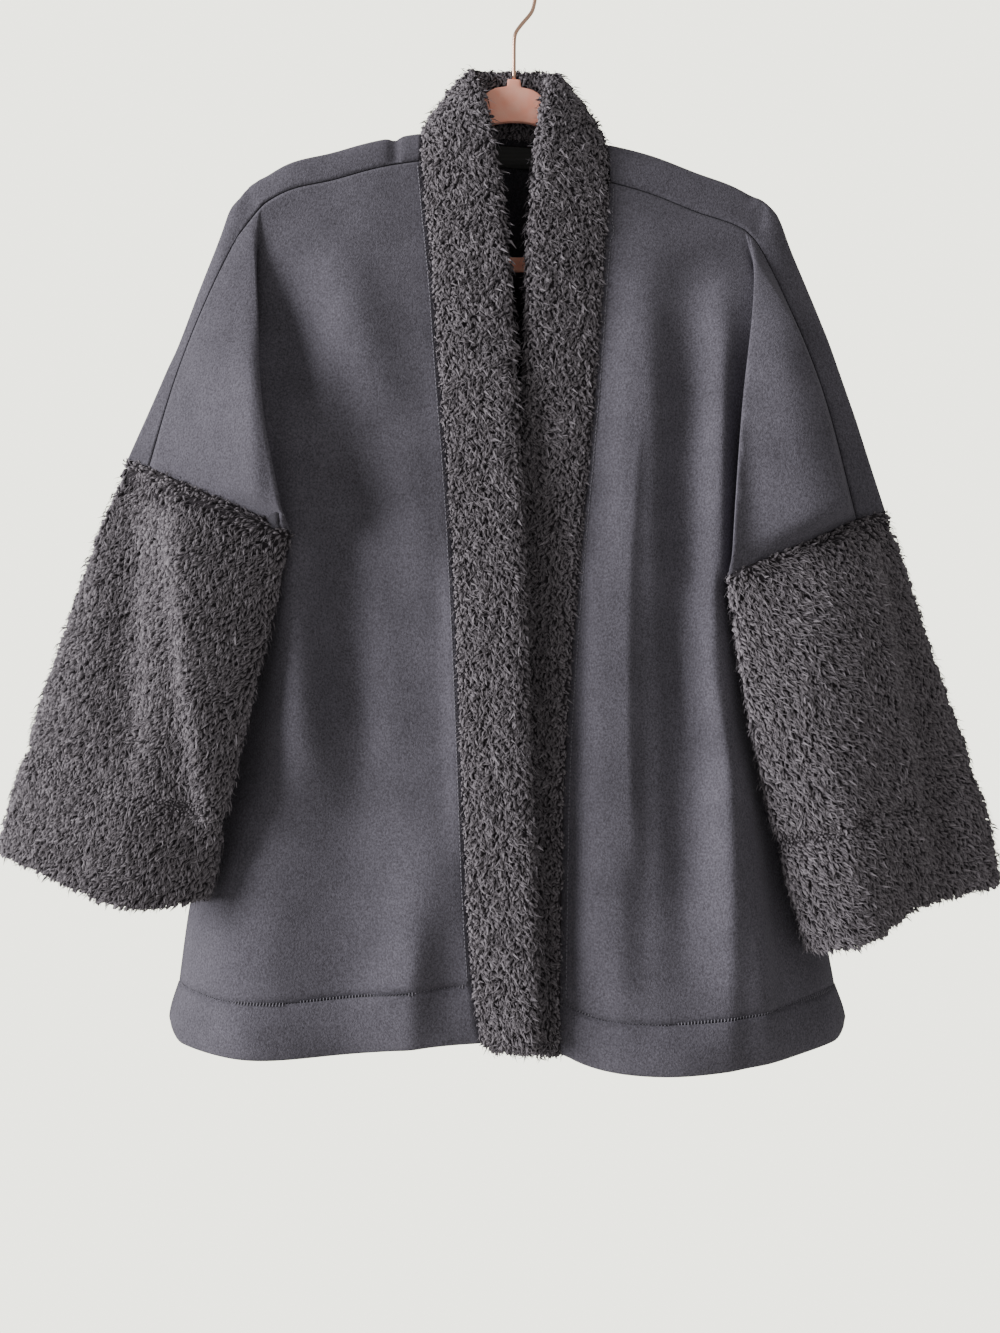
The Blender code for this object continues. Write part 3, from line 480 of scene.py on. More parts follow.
HEM_DEPTH = 44.0        # from the stitching to the fold
HEM_SWELL = 3.5         # how far the hem stands out halfway down
SIDE_SWELL = 2.5        # the same at the side seams
CORNER = 14.0           # radius of its corners at the side seams
HEM_TIGHT = 0.5         # how far the stitching pulls the hem up to its panel
TIGHT_WIDTH = 1.5       # how far down that reaches


def plump(piece, panel, outward, sewn_to, corners):
    """Round a hem out between its stitching and its fold, and round off its corners at the side seams."""
    points = points_of(piece)
    below = distance_to(piece, panel)
    across = np.clip(below / HEM_DEPTH, 0, 1)
    swell = np.sin(across * math.pi)
    points[:, 2] += HEM_TIGHT * np.exp(-((below / TIGHT_WIDTH) ** 2))
    points[:, 1] += outward * HEM_SWELL * swell * ease(distance_to(piece, *sewn_to) / HELD)
    for way in corners:
        aside = (way * points[:, 0]).max() - way * points[:, 0]
        points[:, 0] += way * SIDE_SWELL * swell * np.exp(-((aside / CORNER) ** 2))
        past = np.clip(CORNER - aside, 0, None)
        points[:, 2] += across ** 2 * (CORNER - np.sqrt(CORNER ** 2 - past ** 2))
    put_points(piece, points)


HEM_CUT = {"front_right": (0.27, 0.052), "front_left": (0.25, 0.048), "back": (0.56, 0.048)}
hems = {}
for panel, cut in HEM_CUT.items():
    piece = finer_copy(f"hem_{panel}", f"hem_{panel}_fold", crease=0.3, outside_of=clear_sides)
    if panel == "back":
        hang(piece, BACK_CREASES, 1, BACK_SEWN)
        plump(piece, panel, 1, BACK_SEWN, (-1, 1))
    else:
        side = panel.split("_")[1]
        sewn = ("back", "hem_back", f"band_{side}", f"sleeve_{side}")
        hang(piece, FRONT_CREASES[side], -1, sewn)
        plump(piece, panel, -1, sewn, (-1,) if side == "right" else (1,))
        close_seam(piece, f"band_{side}")
    draw_in(piece, groove(piece, HEM_GROOVE, panel))
    finish_piece(piece, fleece, "fleece", f"hem_{panel}")
    hems[panel] = piece

# Lighter than the fleece and a little glossier, so that the stitches show as small pale ticks.
thread, tree, shader = new_material("grey spun polyester thread")
PLY = 0.5 * MM          # the twist of the thread's plies
place = add_node(tree, "ShaderNodeTexCoord")
plies = add_node(tree, "ShaderNodeTexNoise", {"Vector": given(place, "Object"), "Scale": 1 / PLY})
colour = add_node(tree, "ShaderNodeMix",
                  {"Factor": given(plies), "A": linear(0x56535C), "B": linear(0x8B8892)}, data_type="RGBA")
tree.links.new(given(colour), shader.inputs["Base Color"])
shader.inputs["Roughness"].default_value = 0.7


def new_tree(name, sockets):
    """A geometry tree with named inputs, given as name to kind, and its group input and output."""
    tree = bpy.data.node_groups.new(name, "GeometryNodeTree")
    tree.interface.new_socket("Geometry", in_out="OUTPUT", socket_type="NodeSocketGeometry")
    for socket, kind in sockets.items():
        tree.interface.new_socket(socket, in_out="INPUT", socket_type=f"NodeSocket{kind}")
    return tree, tree.nodes.new("NodeGroupInput"), tree.nodes.new("NodeGroupOutput")


def grown_from(piece, name, tree, values):
    """A plain mesh that a geometry tree makes from a piece, with the tree's inputs set by identifier."""
    made = bpy.data.objects.new(name, piece.data.copy())
    bpy.context.scene.collection.objects.link(made)
    modifier = made.modifiers.new("growth", "NODES")
    modifier.node_group = tree
    for item in tree.interface.items_tree:
        if item.in_out == "INPUT" and item.name in values:
            modifier[item.identifier] = values[item.name]
    return made_plain(made)


def make_stitch(count):
    """One stitch, a unit long and thick: a plump bead along X with so many sides and pointed ends."""
    turns = [2 * math.pi * k / count for k in range(count)]
    rings = [(x, 0.5 * math.cos(turn), 0.5 * math.sin(turn)) for x in (-0.3, 0.3) for turn in turns]
    sides = [(k, (k + 1) % count, count + (k + 1) % count, count + k) for k in range(count)]
    ends = [((k + 1) % count, k, 2 * count) for k in range(count)]
    ends += [(count + k, count + (k + 1) % count, 2 * count + 1) for k in range(count)]
    mesh = bpy.data.meshes.new("stitch")
    mesh.from_pydata(rings + [(-0.5, 0, 0), (0.5, 0, 0)], [], sides + ends)
    return bpy.data.objects.new("stitch", mesh)


stitch_tree, entry, end = new_tree("stitches", {
    "Geometry": "Geometry", "Stitch": "Object", "Pitch": "Float", "Length": "Float", "Thickness": "Float",
    "Turn": "Float", "Material": "Material"})
line = add_node(stitch_tree, "GeometryNodeMeshToCurve", {"Mesh": given(entry, "Geometry")})
steps = add_node(stitch_tree, "GeometryNodeResampleCurve",
                 {"Curve": given(line), "Length": given(entry, "Pitch")}, mode="LENGTH")
faces = add_node(stitch_tree, "GeometryNodeInputNamedAttribute", {"Name": "faces"},
                 data_type="FLOAT_VECTOR")
flat_on = add_node(stitch_tree, "FunctionNodeAlignRotationToVector", {"Vector": given(faces)}, axis="Z")
ahead = add_node(stitch_tree, "GeometryNodeInputTangent")
along = add_node(stitch_tree, "FunctionNodeAlignRotationToVector",
                 {"Rotation": given(flat_on), "Vector": given(ahead)}, axis="X", pivot_axis="Z")
turn = add_node(stitch_tree, "ShaderNodeCombineXYZ", {"Z": given(entry, "Turn")})
turned = add_node(stitch_tree, "FunctionNodeEulerToRotation", {"Euler": given(turn)})
laid = add_node(stitch_tree, "FunctionNodeRotateRotation",
                {"Rotation": given(along), "Rotate By": given(turned)}, rotation_space="LOCAL")
size = add_node(stitch_tree, "ShaderNodeCombineXYZ",
                {"X": given(entry, "Length"), "Y": given(entry, "Thickness"),
                 "Z": given(entry, "Thickness")})
bead = add_node(stitch_tree, "GeometryNodeObjectInfo", {"Object": given(entry, "Stitch")})
sewn = add_node(stitch_tree, "GeometryNodeInstanceOnPoints",
                {"Points": given(steps), "Instance": given(bead, "Geometry"), "Rotation": given(laid),
                 "Scale": given(size)})
real = add_node(stitch_tree, "GeometryNodeRealizeInstances", {"Geometry": given(sewn)})
dressed = add_node(stitch_tree, "GeometryNodeSetMaterial",
                   {"Geometry": given(real), "Material": given(entry, "Material")})
stitch_tree.links.new(given(dressed), end.inputs["Geometry"])


def seam_points(piece, neighbour):
    """Where the outside of a piece meets the CAD solid that it is sewn to."""
    near = distance_to(piece, neighbour) < SEAM_REACH / MM
    return points_of(piece)[near & (outside_share(piece) > 0.5)]


LOOK_FROM = 0.3         # in metres, well outside the jacket
STITCH_LIFT = 0.4       # stitches lie this far off the cloth, in millimetres


def laid_line(name, line, cloths, outward):
    """A line of points (x, z) in millimetres laid on the outside of some cloth, as seen along Y."""
    graph = bpy.context.evaluated_depsgraph_get()
    trees = [BVHTree.FromObject(cloth, graph) for cloth in cloths]
    points, facing = [], []
    for x, z in line:
        start = Vector((x * MM, outward * LOOK_FROM, z * MM))
        hits = [tree.ray_cast(start, Vector((0, -outward, 0))) for tree in trees]
        hits = [hit for hit in hits if hit[0] is not None]
        if hits:
            place, normal = min(hits, key=lambda hit: hit[3])[:2]
            points.append(place + normal * STITCH_LIFT * MM)
            facing.append(normal)
    mesh = bpy.data.meshes.new(name)
    mesh.from_pydata(points, [(k, k + 1) for k in range(len(points) - 1)], [])
    mesh.attributes.new("faces", "FLOAT_VECTOR", "POINT").data.foreach_set(
        "vector", np.array(facing, np.float32).ravel())
    return bpy.data.objects.new(name, mesh)


# The hem's stitches lie almost straight across its seam, each as a small tick.
HEM_TICK = {"Pitch": 2.5 * MM, "Length": 3.6 * MM, "Thickness": 0.75 * MM, "Turn": math.radians(80)}
SIDE_CLEAR = 5.0        # the stitching stops this far from a panel's ends
HEM_STEP = 2.0          # between the points of the line that it follows
stitch = make_stitch(5)
panels = {"front_right": fronts["right"], "front_left": fronts["left"], "back": back}
for panel, hem in hems.items():
    seam = seam_points(hem, panel)
    seam = seam[np.argsort(seam[:, 0])]
    across = np.arange(seam[0, 0] + SIDE_CLEAR, seam[-1, 0] - SIDE_CLEAR, HEM_STEP)
    line = np.column_stack((across, np.interp(across, seam[:, 0], seam[:, 2])))
    path = laid_line("seam", line, (panels[panel], hem), 1 if panel == "back" else -1)
    ticks = grown_from(path, f"hem_{panel}_stitches", stitch_tree,
                       {"Stitch": stitch, "Material": thread, **HEM_TICK})
    bpy.data.objects.remove(path)
    finish_piece(ticks, thread, "fleece")


# The lower sleeves: wide tubes of sherpa, a knitted ground with long pile drawn into small locks, sewn
# to the upper sleeves. The cuff is turned up inside and stitched, which presses a line into the pile.

# Seen only between the locks, as a dull net of loops, kept dark as painted shade down between them.
sherpa_ground, tree, shader = new_material("grey knitted sherpa ground")
KNIT_LOOP = 1.6 * MM
place = add_node(tree, "ShaderNodeTexCoord")
loops = add_node(tree, "ShaderNodeTexVoronoi", {"Vector": given(place, "Object"), "Scale": 1 / KNIT_LOOP})
colour = add_node(tree, "ShaderNodeMix",
                  {"Factor": given(loops, "Distance"), "A": linear(0x423E42), "B": linear(0x2B282B)},
                  data_type="RGBA")
tree.links.new(given(colour), shader.inputs["Base Color"])
shader.inputs["Roughness"].default_value = 1.0
shader.inputs["Specular IOR Level"].default_value = 0.1

# Painted shade at each lock's root and sides and a painted highlight on its top; no two take the same tone.
sherpa_pile, tree, shader = new_material("grey polyester sherpa pile")
light = add_node(tree, "ShaderNodeAttribute", attribute_name="light")
tone = add_node(tree, "ShaderNodeAttribute", attribute_name="tone")
shade_to_highlight = add_node(tree, "ShaderNodeValToRGB", {"Fac": given(light, "Fac")})
# From painted shade at the root, through a mid grey, to a painted highlight at the top and tip.
stops = shade_to_highlight.color_ramp.elements
stops[0].color = linear(0x201E20)
stops[1].color = linear(0x948E94)
stops.new(0.5).color = linear(0x5A555A)
varied = add_node(tree, "ShaderNodeMapRange", {"Value": given(tone, "Fac"), "To Min": 0.78, "To Max": 1.22})
shade = add_node(tree, "ShaderNodeVectorMath",
                 {"Vector": given(shade_to_highlight), "Scale": given(varied)}, operation="SCALE")
tree.links.new(given(shade), shader.inputs["Base Color"])
shader.inputs["Roughness"].default_value = 0.85
shader.inputs["Specular IOR Level"].default_value = 0.2
shader.inputs["Sheen Weight"].default_value = 0.1
shader.inputs["Sheen Tint"].default_value = linear(0xC9C5CB)


def make_lock(name, points, faces, light, reach):
    """One lock of pile, a unit long and wide, with each point's painted shading and its reach along the
    lock.
    """
    mesh = bpy.data.meshes.new(name)
    mesh.from_pydata(points, [], faces)
    mesh.attributes.new("light", "FLOAT", "POINT").data.foreach_set("value", light)
    mesh.attributes.new("reach", "FLOAT", "POINT").data.foreach_set("value", reach)
    return bpy.data.objects.new(name, mesh)


# A tuft is a plump curl that rises from the ground and bends over, with painted shade along its sides and a
# painted highlight along its top. A fibre is a thin blade that stands out from the tufts.
tuft = make_lock(
    "tuft",
    [(0, 0, -0.05), (0.28, -0.5, 0.08), (0.28, 0, 0.42), (0.28, 0.5, 0.08),
     (0.72, -0.45, 0.12), (0.72, 0, 0.46), (0.72, 0.45, 0.12), (1, 0, 0.16)],
    [(0, 1, 2), (0, 2, 3), (1, 4, 5, 2), (2, 5, 6, 3), (4, 7, 5), (5, 7, 6)],
    light=(0, 0.2, 0.8, 0.2, 0.3, 1, 0.3, 0.6), reach=(0, 0.3, 0.3, 0.3, 0.75, 0.75, 0.75, 1))
fibre = make_lock(
    "fibre", [(0, 0, 0), (0.4, -0.5, 0.5), (0.4, 0.5, 0.5), (1, 0, 0.5)], [(0, 1, 2), (1, 3, 2)],
    light=(0, 0.6, 0.6, 1), reach=(0, 0.4, 0.4, 1))

LEAST_PILE = 0.05       # nothing grows where the pile is shorter than this share of its length
PLENTY = 2000000.0      # locks to a square metre, so many that only their spacing limits them
SWING_LEAST = (-0.35, -0.45, -1)    # how far a lock rolls, rises and swings aside at a stray of 1,
SWING_MOST = (0.35, 0.3, 1)         # in radians
SHORTEST = 0.75         # locks as shares of their usual length and width
LONGEST = 1.25

pile_tree, entry, end = new_tree("pile", {
    "Geometry": "Geometry", "Lock": "Object", "Spacing": "Float", "Length": "Float", "Width": "Float",
    "Stray": "Float", "Curl": "Float", "Curl Size": "Float", "Clump": "Float", "Clump Size": "Float",
    "Seed": "Int", "Material": "Material"})
kept = add_node(pile_tree, "GeometryNodeInputNamedAttribute", {"Name": "pile"}, data_type="FLOAT")
grows = add_node(pile_tree, "FunctionNodeCompare", {"A": given(kept), "B": LEAST_PILE},
                 operation="GREATER_THAN")
roots = add_node(pile_tree, "GeometryNodeDistributePointsOnFaces",
                 {"Mesh": given(entry, "Geometry"), "Selection": given(grows), "Density Max": PLENTY,
                  "Distance Min": given(entry, "Spacing"), "Seed": given(entry, "Seed")},
                 distribute_method="POISSON")
comb = add_node(pile_tree, "GeometryNodeInputNamedAttribute", {"Name": "comb"}, data_type="FLOAT_VECTOR")
combed = add_node(pile_tree, "FunctionNodeAlignRotationToVector",
                  {"Rotation": given(roots, "Rotation"), "Vector": given(comb)}, axis="X", pivot_axis="Z")
swing = add_node(pile_tree, "FunctionNodeRandomValue",
                 {"Min": SWING_LEAST, "Max": SWING_MOST, "Seed": given(entry, "Seed")},
                 data_type="FLOAT_VECTOR")
strayed = add_node(pile_tree, "ShaderNodeVectorMath",
                   {"Vector": given(swing), "Scale": given(entry, "Stray")}, operation="SCALE")
turned = add_node(pile_tree, "FunctionNodeEulerToRotation", {"Euler": given(strayed)})
aimed = add_node(pile_tree, "FunctionNodeRotateRotation",
                 {"Rotation": given(combed), "Rotate By": given(turned)}, rotation_space="LOCAL")
growth = add_node(pile_tree, "FunctionNodeRandomValue", {"Min": SHORTEST, "Max": LONGEST}, data_type="FLOAT")
grown = add_node(pile_tree, "ShaderNodeMath",
                 {"Value": given(growth), "Value_001": given(kept)}, operation="MULTIPLY")
long = add_node(pile_tree, "ShaderNodeMath",
                {"Value": given(grown), "Value_001": given(entry, "Length")}, operation="MULTIPLY")
thick = add_node(pile_tree, "ShaderNodeMath",
                 {"Value": given(growth), "Value_001": given(entry, "Width")}, operation="MULTIPLY")
size = add_node(pile_tree, "ShaderNodeCombineXYZ", {"X": given(long), "Y": given(thick), "Z": given(long)})
lock = add_node(pile_tree, "GeometryNodeObjectInfo", {"Object": given(entry, "Lock")})
locks = add_node(pile_tree, "GeometryNodeInstanceOnPoints",
                 {"Points": given(roots, "Points"), "Instance": given(lock, "Geometry"),
                  "Rotation": given(aimed), "Scale": given(size)})
loose = add_node(pile_tree, "GeometryNodeRealizeInstances", {"Geometry": given(locks)})
where = add_node(pile_tree, "GeometryNodeInputPosition")
reach = add_node(pile_tree, "GeometryNodeInputNamedAttribute", {"Name": "reach"}, data_type="FLOAT")
waves = add_node(pile_tree, "ShaderNodeTexNoise",
                 {"Vector": given(where), "Scale": given(entry, "Curl Size"), "Detail": 1.0})
centred = add_node(pile_tree, "ShaderNodeVectorMath",
                   {"Vector": given(waves, "Color"), "Vector_001": (0.5, 0.5, 0.5)}, operation="SUBTRACT")
bend = add_node(pile_tree, "ShaderNodeMath",
                {"Value": given(reach), "Value_001": given(entry, "Curl")}, operation="MULTIPLY")
shifted = add_node(pile_tree, "ShaderNodeVectorMath",
                   {"Vector": given(centred), "Scale": given(bend)}, operation="SCALE")
curled = add_node(pile_tree, "GeometryNodeSetPosition",
                  {"Geometry": given(loose), "Offset": given(shifted)})
cells = add_node(pile_tree, "ShaderNodeTexVoronoi",
                 {"Vector": given(where), "Scale": given(entry, "Clump Size")})
apart = add_node(pile_tree, "ShaderNodeVectorMath",
                 {"Vector": given(cells, "Position"), "Vector_001": given(where)}, operation="SUBTRACT")
pull = add_node(pile_tree, "ShaderNodeMath",
                {"Value": given(reach), "Value_001": given(entry, "Clump")}, operation="MULTIPLY")
drawn = add_node(pile_tree, "ShaderNodeVectorMath",
                 {"Vector": given(apart), "Scale": given(pull)}, operation="SCALE")
toned = add_node(pile_tree, "GeometryNodeStoreNamedAttribute",
                 {"Geometry": given(curled), "Name": "tone", "Value": given(cells, "Color")},
                 data_type="FLOAT")
clumped = add_node(pile_tree, "GeometryNodeSetPosition", {"Geometry": given(toned), "Offset": given(drawn)})
soft = add_node(pile_tree, "GeometryNodeSetShadeSmooth", {"Geometry": given(clumped)})
dressed = add_node(pile_tree, "GeometryNodeSetMaterial",
                   {"Geometry": given(soft), "Material": given(entry, "Material")})
pile_tree.links.new(given(dressed), end.inputs["Geometry"])


SEAM_BARE = 0.5         # the ground starts to draw in this far from the next piece
SEAM_FADE = 10.0        # and is fully drawn in this much further off
LEAST_GROUND = 1.4      # the knitted ground is left at least this thick
THICKEST = 30 * MM      # no wall is thicker
UNDER_SKIN = 0.01       # a wall is measured from this far under its outside, in millimetres


def make_pile_room(piece, node, room):
    """Draw a wall's outside in, to leave room for its pile, but not where it is sewn to the next piece.
    Gives which points lie outside, and how far they are from the next piece, as a share of the fade."""
    wall = BVHTree.FromObject(piece, bpy.context.evaluated_depsgraph_get())
    others = other_solids(node)
    points = points_of(piece)
    outside = outside_share(piece)
    fade = np.zeros(len(points))
    for vertex in piece.data.vertices:
        apart = others.find_nearest(vertex.co)[3] / MM
        skin = vertex.co - vertex.normal * UNDER_SKIN * MM
        through = wall.ray_cast(skin, -vertex.normal, THICKEST)[3]
        fade[vertex.index] = ease((apart - SEAM_BARE) / SEAM_FADE)
        inset = room * outside[vertex.index] * fade[vertex.index]
        if through is not None:
            inset = min(inset, max(0.0, through / MM - LEAST_GROUND))
        points[vertex.index] -= inset * np.array(vertex.normal)
    put_points(piece, points)
    return outside, fade


def store(piece, name, values, kind="FLOAT"):
    """Keep a value or a direction for each of a piece's points."""
    attribute = piece.data.attributes.new(name, kind, "POINT")
    field = "vector" if kind == "FLOAT_VECTOR" else "value"
    attribute.data.foreach_set(field, values.astype(np.float32).ravel())


WHORL_SEED = 3
noise.seed_set(WHORL_SEED)      # without it the whorls differ from run to run


def swirls(points, size):
    """Directions that wander from place to place, in whorls of a size in millimetres."""
    return np.array([noise.noise_vector(Vector(point / size)) for point in points])


SLEEVES = {
    # way down the sleeve (x, z), how far along it the cuff ends, way the pile is combed (x, y, z), and how
    # far the cuff's stitching flattens it
    "right": {"down": (-0.316, -0.949), "cuff": 813, "comb": (-0.5, 0, -0.8), "flattened": 0.9},
    "left": {"down": (0.295, -0.956), "cuff": 828, "comb": (0.6, 0, -0.7), "flattened": 0.65},
}
CUFF_TURN = 89.0        # depth of the turned cuff
STITCH_DIP = 5.0        # half width of the line that its stitching presses into the pile
INNER_PILE = 0.6        # pile inside the turned cuff, as a share of its full length
SEAM_PILE = 0.7         # the same next to a seam
PILE_GAIN = 0.3         # and how much it gains away from there
PILE_ROOM = 3.2         # how far the ground is drawn in under the pile
STITCH_PRESS = 2.2      # how deep the cuff's stitching presses the ground in
FRONT_FROM = 8          # creases begin this far in front of the hanger
FRONT_EASE = 12         # and are full this much further out
WHORL = 0.55            # how far the combed pile wanders
WHORL_SIZE = 28         # and over what length
RAGGED = 1.8            # the same beside the seam, where it is also combed back up
RAGGED_SIZE = 5
CUFF_CREASES = {
    "right": table(
        CREASE_COLUMNS,
        (-268, -390, -218, -760, 11, 60, 13, 0),
        (-300, -400, -290, -690, 24, 14, -9, 0),
    ),
    "left": table(CREASE_COLUMNS, (262, -400, 326, -800, 55, 9, 13, 0)),
}
SLEEVE_TUFTS = {"Spacing": 2.05 * MM, "Length": 5.8 * MM, "Width": 2.4 * MM, "Stray": 0.7, "Curl": 4.0 * MM,
                "Curl Size": 1 / (7 * MM), "Clump": 0.0, "Clump Size": 1 / (5 * MM), "Seed": 3}
SLEEVE_FIBRES = {"Spacing": 1.7 * MM, "Length": 7.5 * MM, "Width": 0.6 * MM, "Stray": 0.8, "Curl": 5.0 * MM,
                 "Curl Size": 1 / (7 * MM), "Clump": 0.5, "Clump Size": 1 / (4.5 * MM), "Seed": 8}


def grow_pile(ground, name, tufts, fibres):
    """Grow tufts and fibres on a knitted ground, as two pieces."""
    made = [grown_from(ground, f"{name}_{kind}", pile_tree, {"Lock": lock, "Material": sherpa_pile, **sizes})
            for kind, lock, sizes in (("tufts", tuft, tufts), ("fibres", fibre, fibres))]
    for pile in made:
        finish_piece(pile, sherpa_pile, "sherpa")
    return made


for side, facts in SLEEVES.items():
    ground = finer_copy(f"sleeve_{side}", f"sleeve_{side}_ground", crease=0.3)
    outside, fade = make_pile_room(ground, f"sleeve_{side}", PILE_ROOM)
    points = points_of(ground)
    in_front = ease((-points[:, 1] - FRONT_FROM) / FRONT_EASE)
    points[:, 1] += in_front * ease(fade) * creased(points, CUFF_CREASES[side], -1)
    down = points[:, [0, 2]] @ facts["down"]
    dip = np.exp(-(((down - facts["cuff"] + CUFF_TURN) / STITCH_DIP) ** 2))
    points -= (STITCH_PRESS * dip * outside)[:, None] * normals_of(ground)
    put_points(ground, points)
    turned_in = INNER_PILE * (down > facts["cuff"] - CUFF_TURN)
    shown = (SEAM_PILE + PILE_GAIN * fade) * (1 - facts["flattened"] * dip)
    store(ground, "pile", np.where(outside > 0.5, shown, turned_in))
    up = -np.array((facts["down"][0], 0, facts["down"][1]))
    at_seam = (1 - fade)[:, None] * (up + RAGGED * swirls(points, RAGGED_SIZE))
    comb = np.array(facts["comb"]) + WHORL * swirls(points, WHORL_SIZE) + at_seam
    store(ground, "comb", comb, "FLOAT_VECTOR")
    pile = grow_pile(ground, f"sleeve_{side}", SLEEVE_TUFTS, SLEEVE_FIBRES)
    finish_piece(ground, sherpa_ground, "sherpa", f"sleeve_{side}")


# The front band and stand collar: a long strip of the same sherpa folded double and sewn round the front
# edges and the neck. Here the pile is shorter and curls into small knots.

BAND_ROOM = 2.6         # how far the ground is drawn in under the pile
KNOT = 0.9              # how far the pile wanders from straight down
KNOT_SIZE = 16          # and over what length

# The left band is pressed in where the right one lies over it.
OVERLAP = {"right": None, "left": table(CREASE_COLUMNS, (6, -330, 28, -930, 14, 14, -8, 0))}
BAND_TUFTS = {"Spacing": 1.9 * MM, "Length": 5.2 * MM, "Width": 2.4 * MM, "Stray": 1.0, "Curl": 4.0 * MM,
              "Curl Size": 1 / (5 * MM), "Clump": 0.0, "Clump Size": 1 / (5 * MM), "Seed": 5}
BAND_FIBRES = {"Spacing": 1.8 * MM, "Length": 7.5 * MM, "Width": 0.6 * MM, "Stray": 1.0, "Curl": 7.0 * MM,
               "Curl Size": 1 / (6 * MM), "Clump": 0.6, "Clump Size": 1 / (5 * MM), "Seed": 9}

# One row of straight stitches runs beside the band's seam, on the front panel.
EDGE_STITCH = {"right": -4.5, "left": 4.5}      # how far from the seam along X
EDGE_ROW = {"Pitch": 3.2 * MM, "Length": 2.6 * MM, "Thickness": 0.8 * MM, "Turn": 0.0}
EDGE_STEP = 3.0         # between the points of the line that it follows
for side, overlap in OVERLAP.items():
    ground = finer_copy(f"band_{side}", f"band_{side}_ground", crease=0.9)
    outside, fade = make_pile_room(ground, f"band_{side}", BAND_ROOM)
    points = points_of(ground)
    if overlap:
        points[:, 1] += np.clip(-normals_of(ground)[:, 1], 0, 1) * creased(points, overlap, -1)
        put_points(ground, points)
    store(ground, "pile", SEAM_PILE + PILE_GAIN * fade)
    store(ground, "comb", np.array((0, 0, -1.0)) + KNOT * swirls(points, KNOT_SIZE), "FLOAT_VECTOR")
    pile = grow_pile(ground, f"band_{side}", BAND_TUFTS, BAND_FIBRES)
    finish_piece(ground, sherpa_ground, "sherpa", f"band_{side}")
    seam = seam_points(fronts[side], f"band_{side}")
    seam = seam[np.argsort(seam[:, 2])]
    down = np.arange(seam[0, 2] + SIDE_CLEAR, seam[-1, 2] - SIDE_CLEAR, EDGE_STEP)
    line = np.column_stack((np.interp(down, seam[:, 2], seam[:, 0]) + EDGE_STITCH[side], down))
    path = laid_line("seam", line, (fronts[side],), -1)
    row = grown_from(path, f"band_{side}_stitches", stitch_tree,
                     {"Stitch": stitch, "Material": thread, **EDGE_ROW})
    bpy.data.objects.remove(path)
    finish_piece(row, thread, "fleece")
for pattern in (stitch, tuft, fibre):
    bpy.data.objects.remove(pattern)


# The neck label: a bare black polyester tape, woven in satin and cut wider at its top. It is sewn inside
# the back, just under the collar.

label = finer_copy("neck_label", "label_tape", crease=0.8)

# Nearly black, with a soft shine and faint ribs across.
tape, tree, shader = new_material("black woven polyester tape")
THREAD = 0.5 * MM       # the ribs are 2 pi of this apart, coarser than the real weave so that they show
WAVE_RATE = 20          # radians that the wave node runs through in one unit
place = add_node(tree, "ShaderNodeTexCoord")
weft = add_node(tree, "ShaderNodeTexWave",
                {"Vector": given(place, "Object"), "Scale": 1 / (WAVE_RATE * THREAD), "Distortion": 0.4},
                bands_direction="Z")
colour = add_node(tree, "ShaderNodeMix",
                  {"Factor": given(weft, "Fac"), "A": linear(0x0B0B0C), "B": linear(0x1B1A1C)},
                  data_type="RGBA")
tree.links.new(given(colour), shader.inputs["Base Color"])
shader.inputs["Roughness"].default_value = 0.55
finish_piece(label, tape, "label", "neck_label")


# The floor: a plain pale disc of matt paint, two metres below the rail that the jacket hangs from. It is
# no part of the jacket.

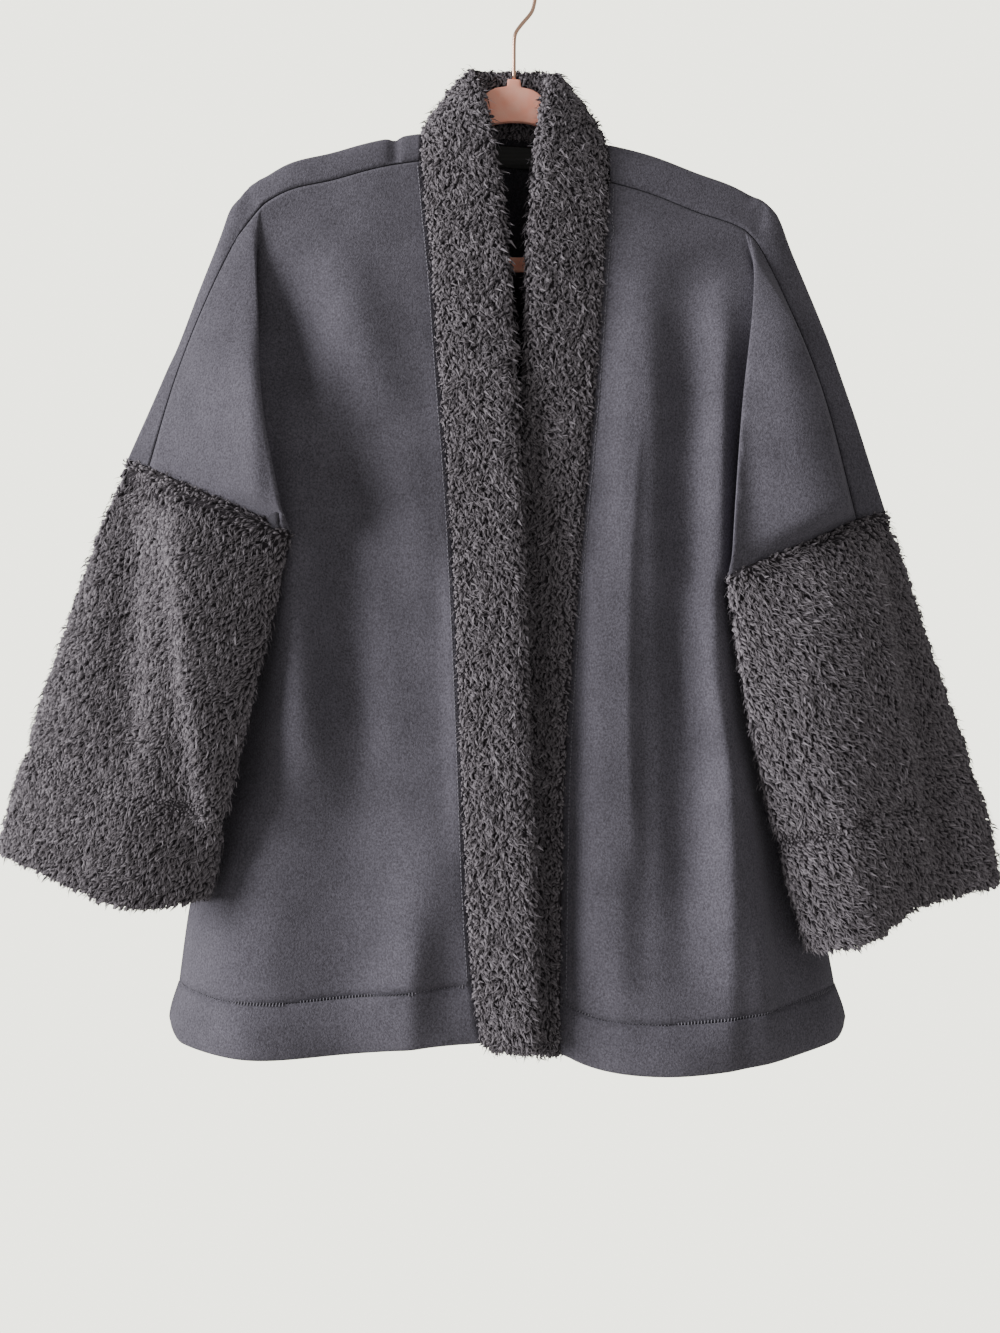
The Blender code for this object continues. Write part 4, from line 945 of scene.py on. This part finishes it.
FLOOR_RADIUS = 1.8      # in metres, as is its level
FLOOR_LEVEL = -2.0
shape = bmesh.new()
bmesh.ops.create_circle(shape, cap_ends=True, segments=96, radius=FLOOR_RADIUS)
floor_mesh = bpy.data.meshes.new("floor")
shape.to_mesh(floor_mesh)
shape.free()
floor = bpy.data.objects.new("floor", floor_mesh)
floor.location.z = FLOOR_LEVEL
bpy.context.scene.collection.objects.link(floor)
paint, tree, shader = new_material("pale matt floor paint")
shader.inputs["Base Color"].default_value = linear(0xE6E5E0)
shader.inputs["Roughness"].default_value = 0.9
floor_mesh.materials.append(paint)


# The light: an even pale room, with one large window of soft light to the viewer's left, a little above
# the jacket. It draws out the folds from the side.

ROOM_GLOW = 0.46        # the room's light on the jacket
BACKDROP_GLOW = 3.3     # how bright its walls look
room = bpy.data.worlds.new("pale room")
room.use_nodes = True
tree = room.node_tree
walls = add_node(tree, "ShaderNodeBackground", {"Color": linear(0xFBFBEC), "Strength": BACKDROP_GLOW})
glow = tree.nodes["Background"]
glow.inputs["Color"].default_value = linear(0xFDFCF7)
glow.inputs["Strength"].default_value = ROOM_GLOW
ray = add_node(tree, "ShaderNodeLightPath")
seen = add_node(tree, "ShaderNodeMixShader",
                {"Fac": given(ray, "Is Camera Ray"), "Shader": given(glow), "Shader_001": given(walls)})
tree.links.new(given(seen), tree.nodes["World Output"].inputs["Surface"])
bpy.context.scene.world = room
WINDOW = {"left": 74, "up": 10, "spread": 36, "strength": 6.2}      # its place and its spread are in degrees
lamp = bpy.data.lights.new("window", "SUN")
lamp.energy = WINDOW["strength"]
lamp.angle = math.radians(WINDOW["spread"])
window = bpy.data.objects.new("window", lamp)
window.rotation_euler = (math.radians(90 - WINDOW["up"]), 0, -math.radians(WINDOW["left"]))
bpy.context.scene.collection.objects.link(window)


# The camera: level and square on to the jacket, at about the height of its middle. Its distance is an
# estimate, and its frame cuts off the hook's bend as the photograph's does.

SENSOR_HEIGHT = 36.0    # in millimetres, as is the focal length
FOCAL_LENGTH = 43.9
STAND = (-0.0112, -1.3, -0.5744)    # in metres
lens = bpy.data.cameras.new("camera")
lens.sensor_fit = "VERTICAL"
lens.sensor_height = SENSOR_HEIGHT
lens.lens = FOCAL_LENGTH
camera = bpy.data.objects.new("camera", lens)
camera.location = STAND
camera.rotation_euler = (math.pi / 2, 0, 0)
bpy.context.scene.collection.objects.link(camera)
bpy.context.scene.camera = camera
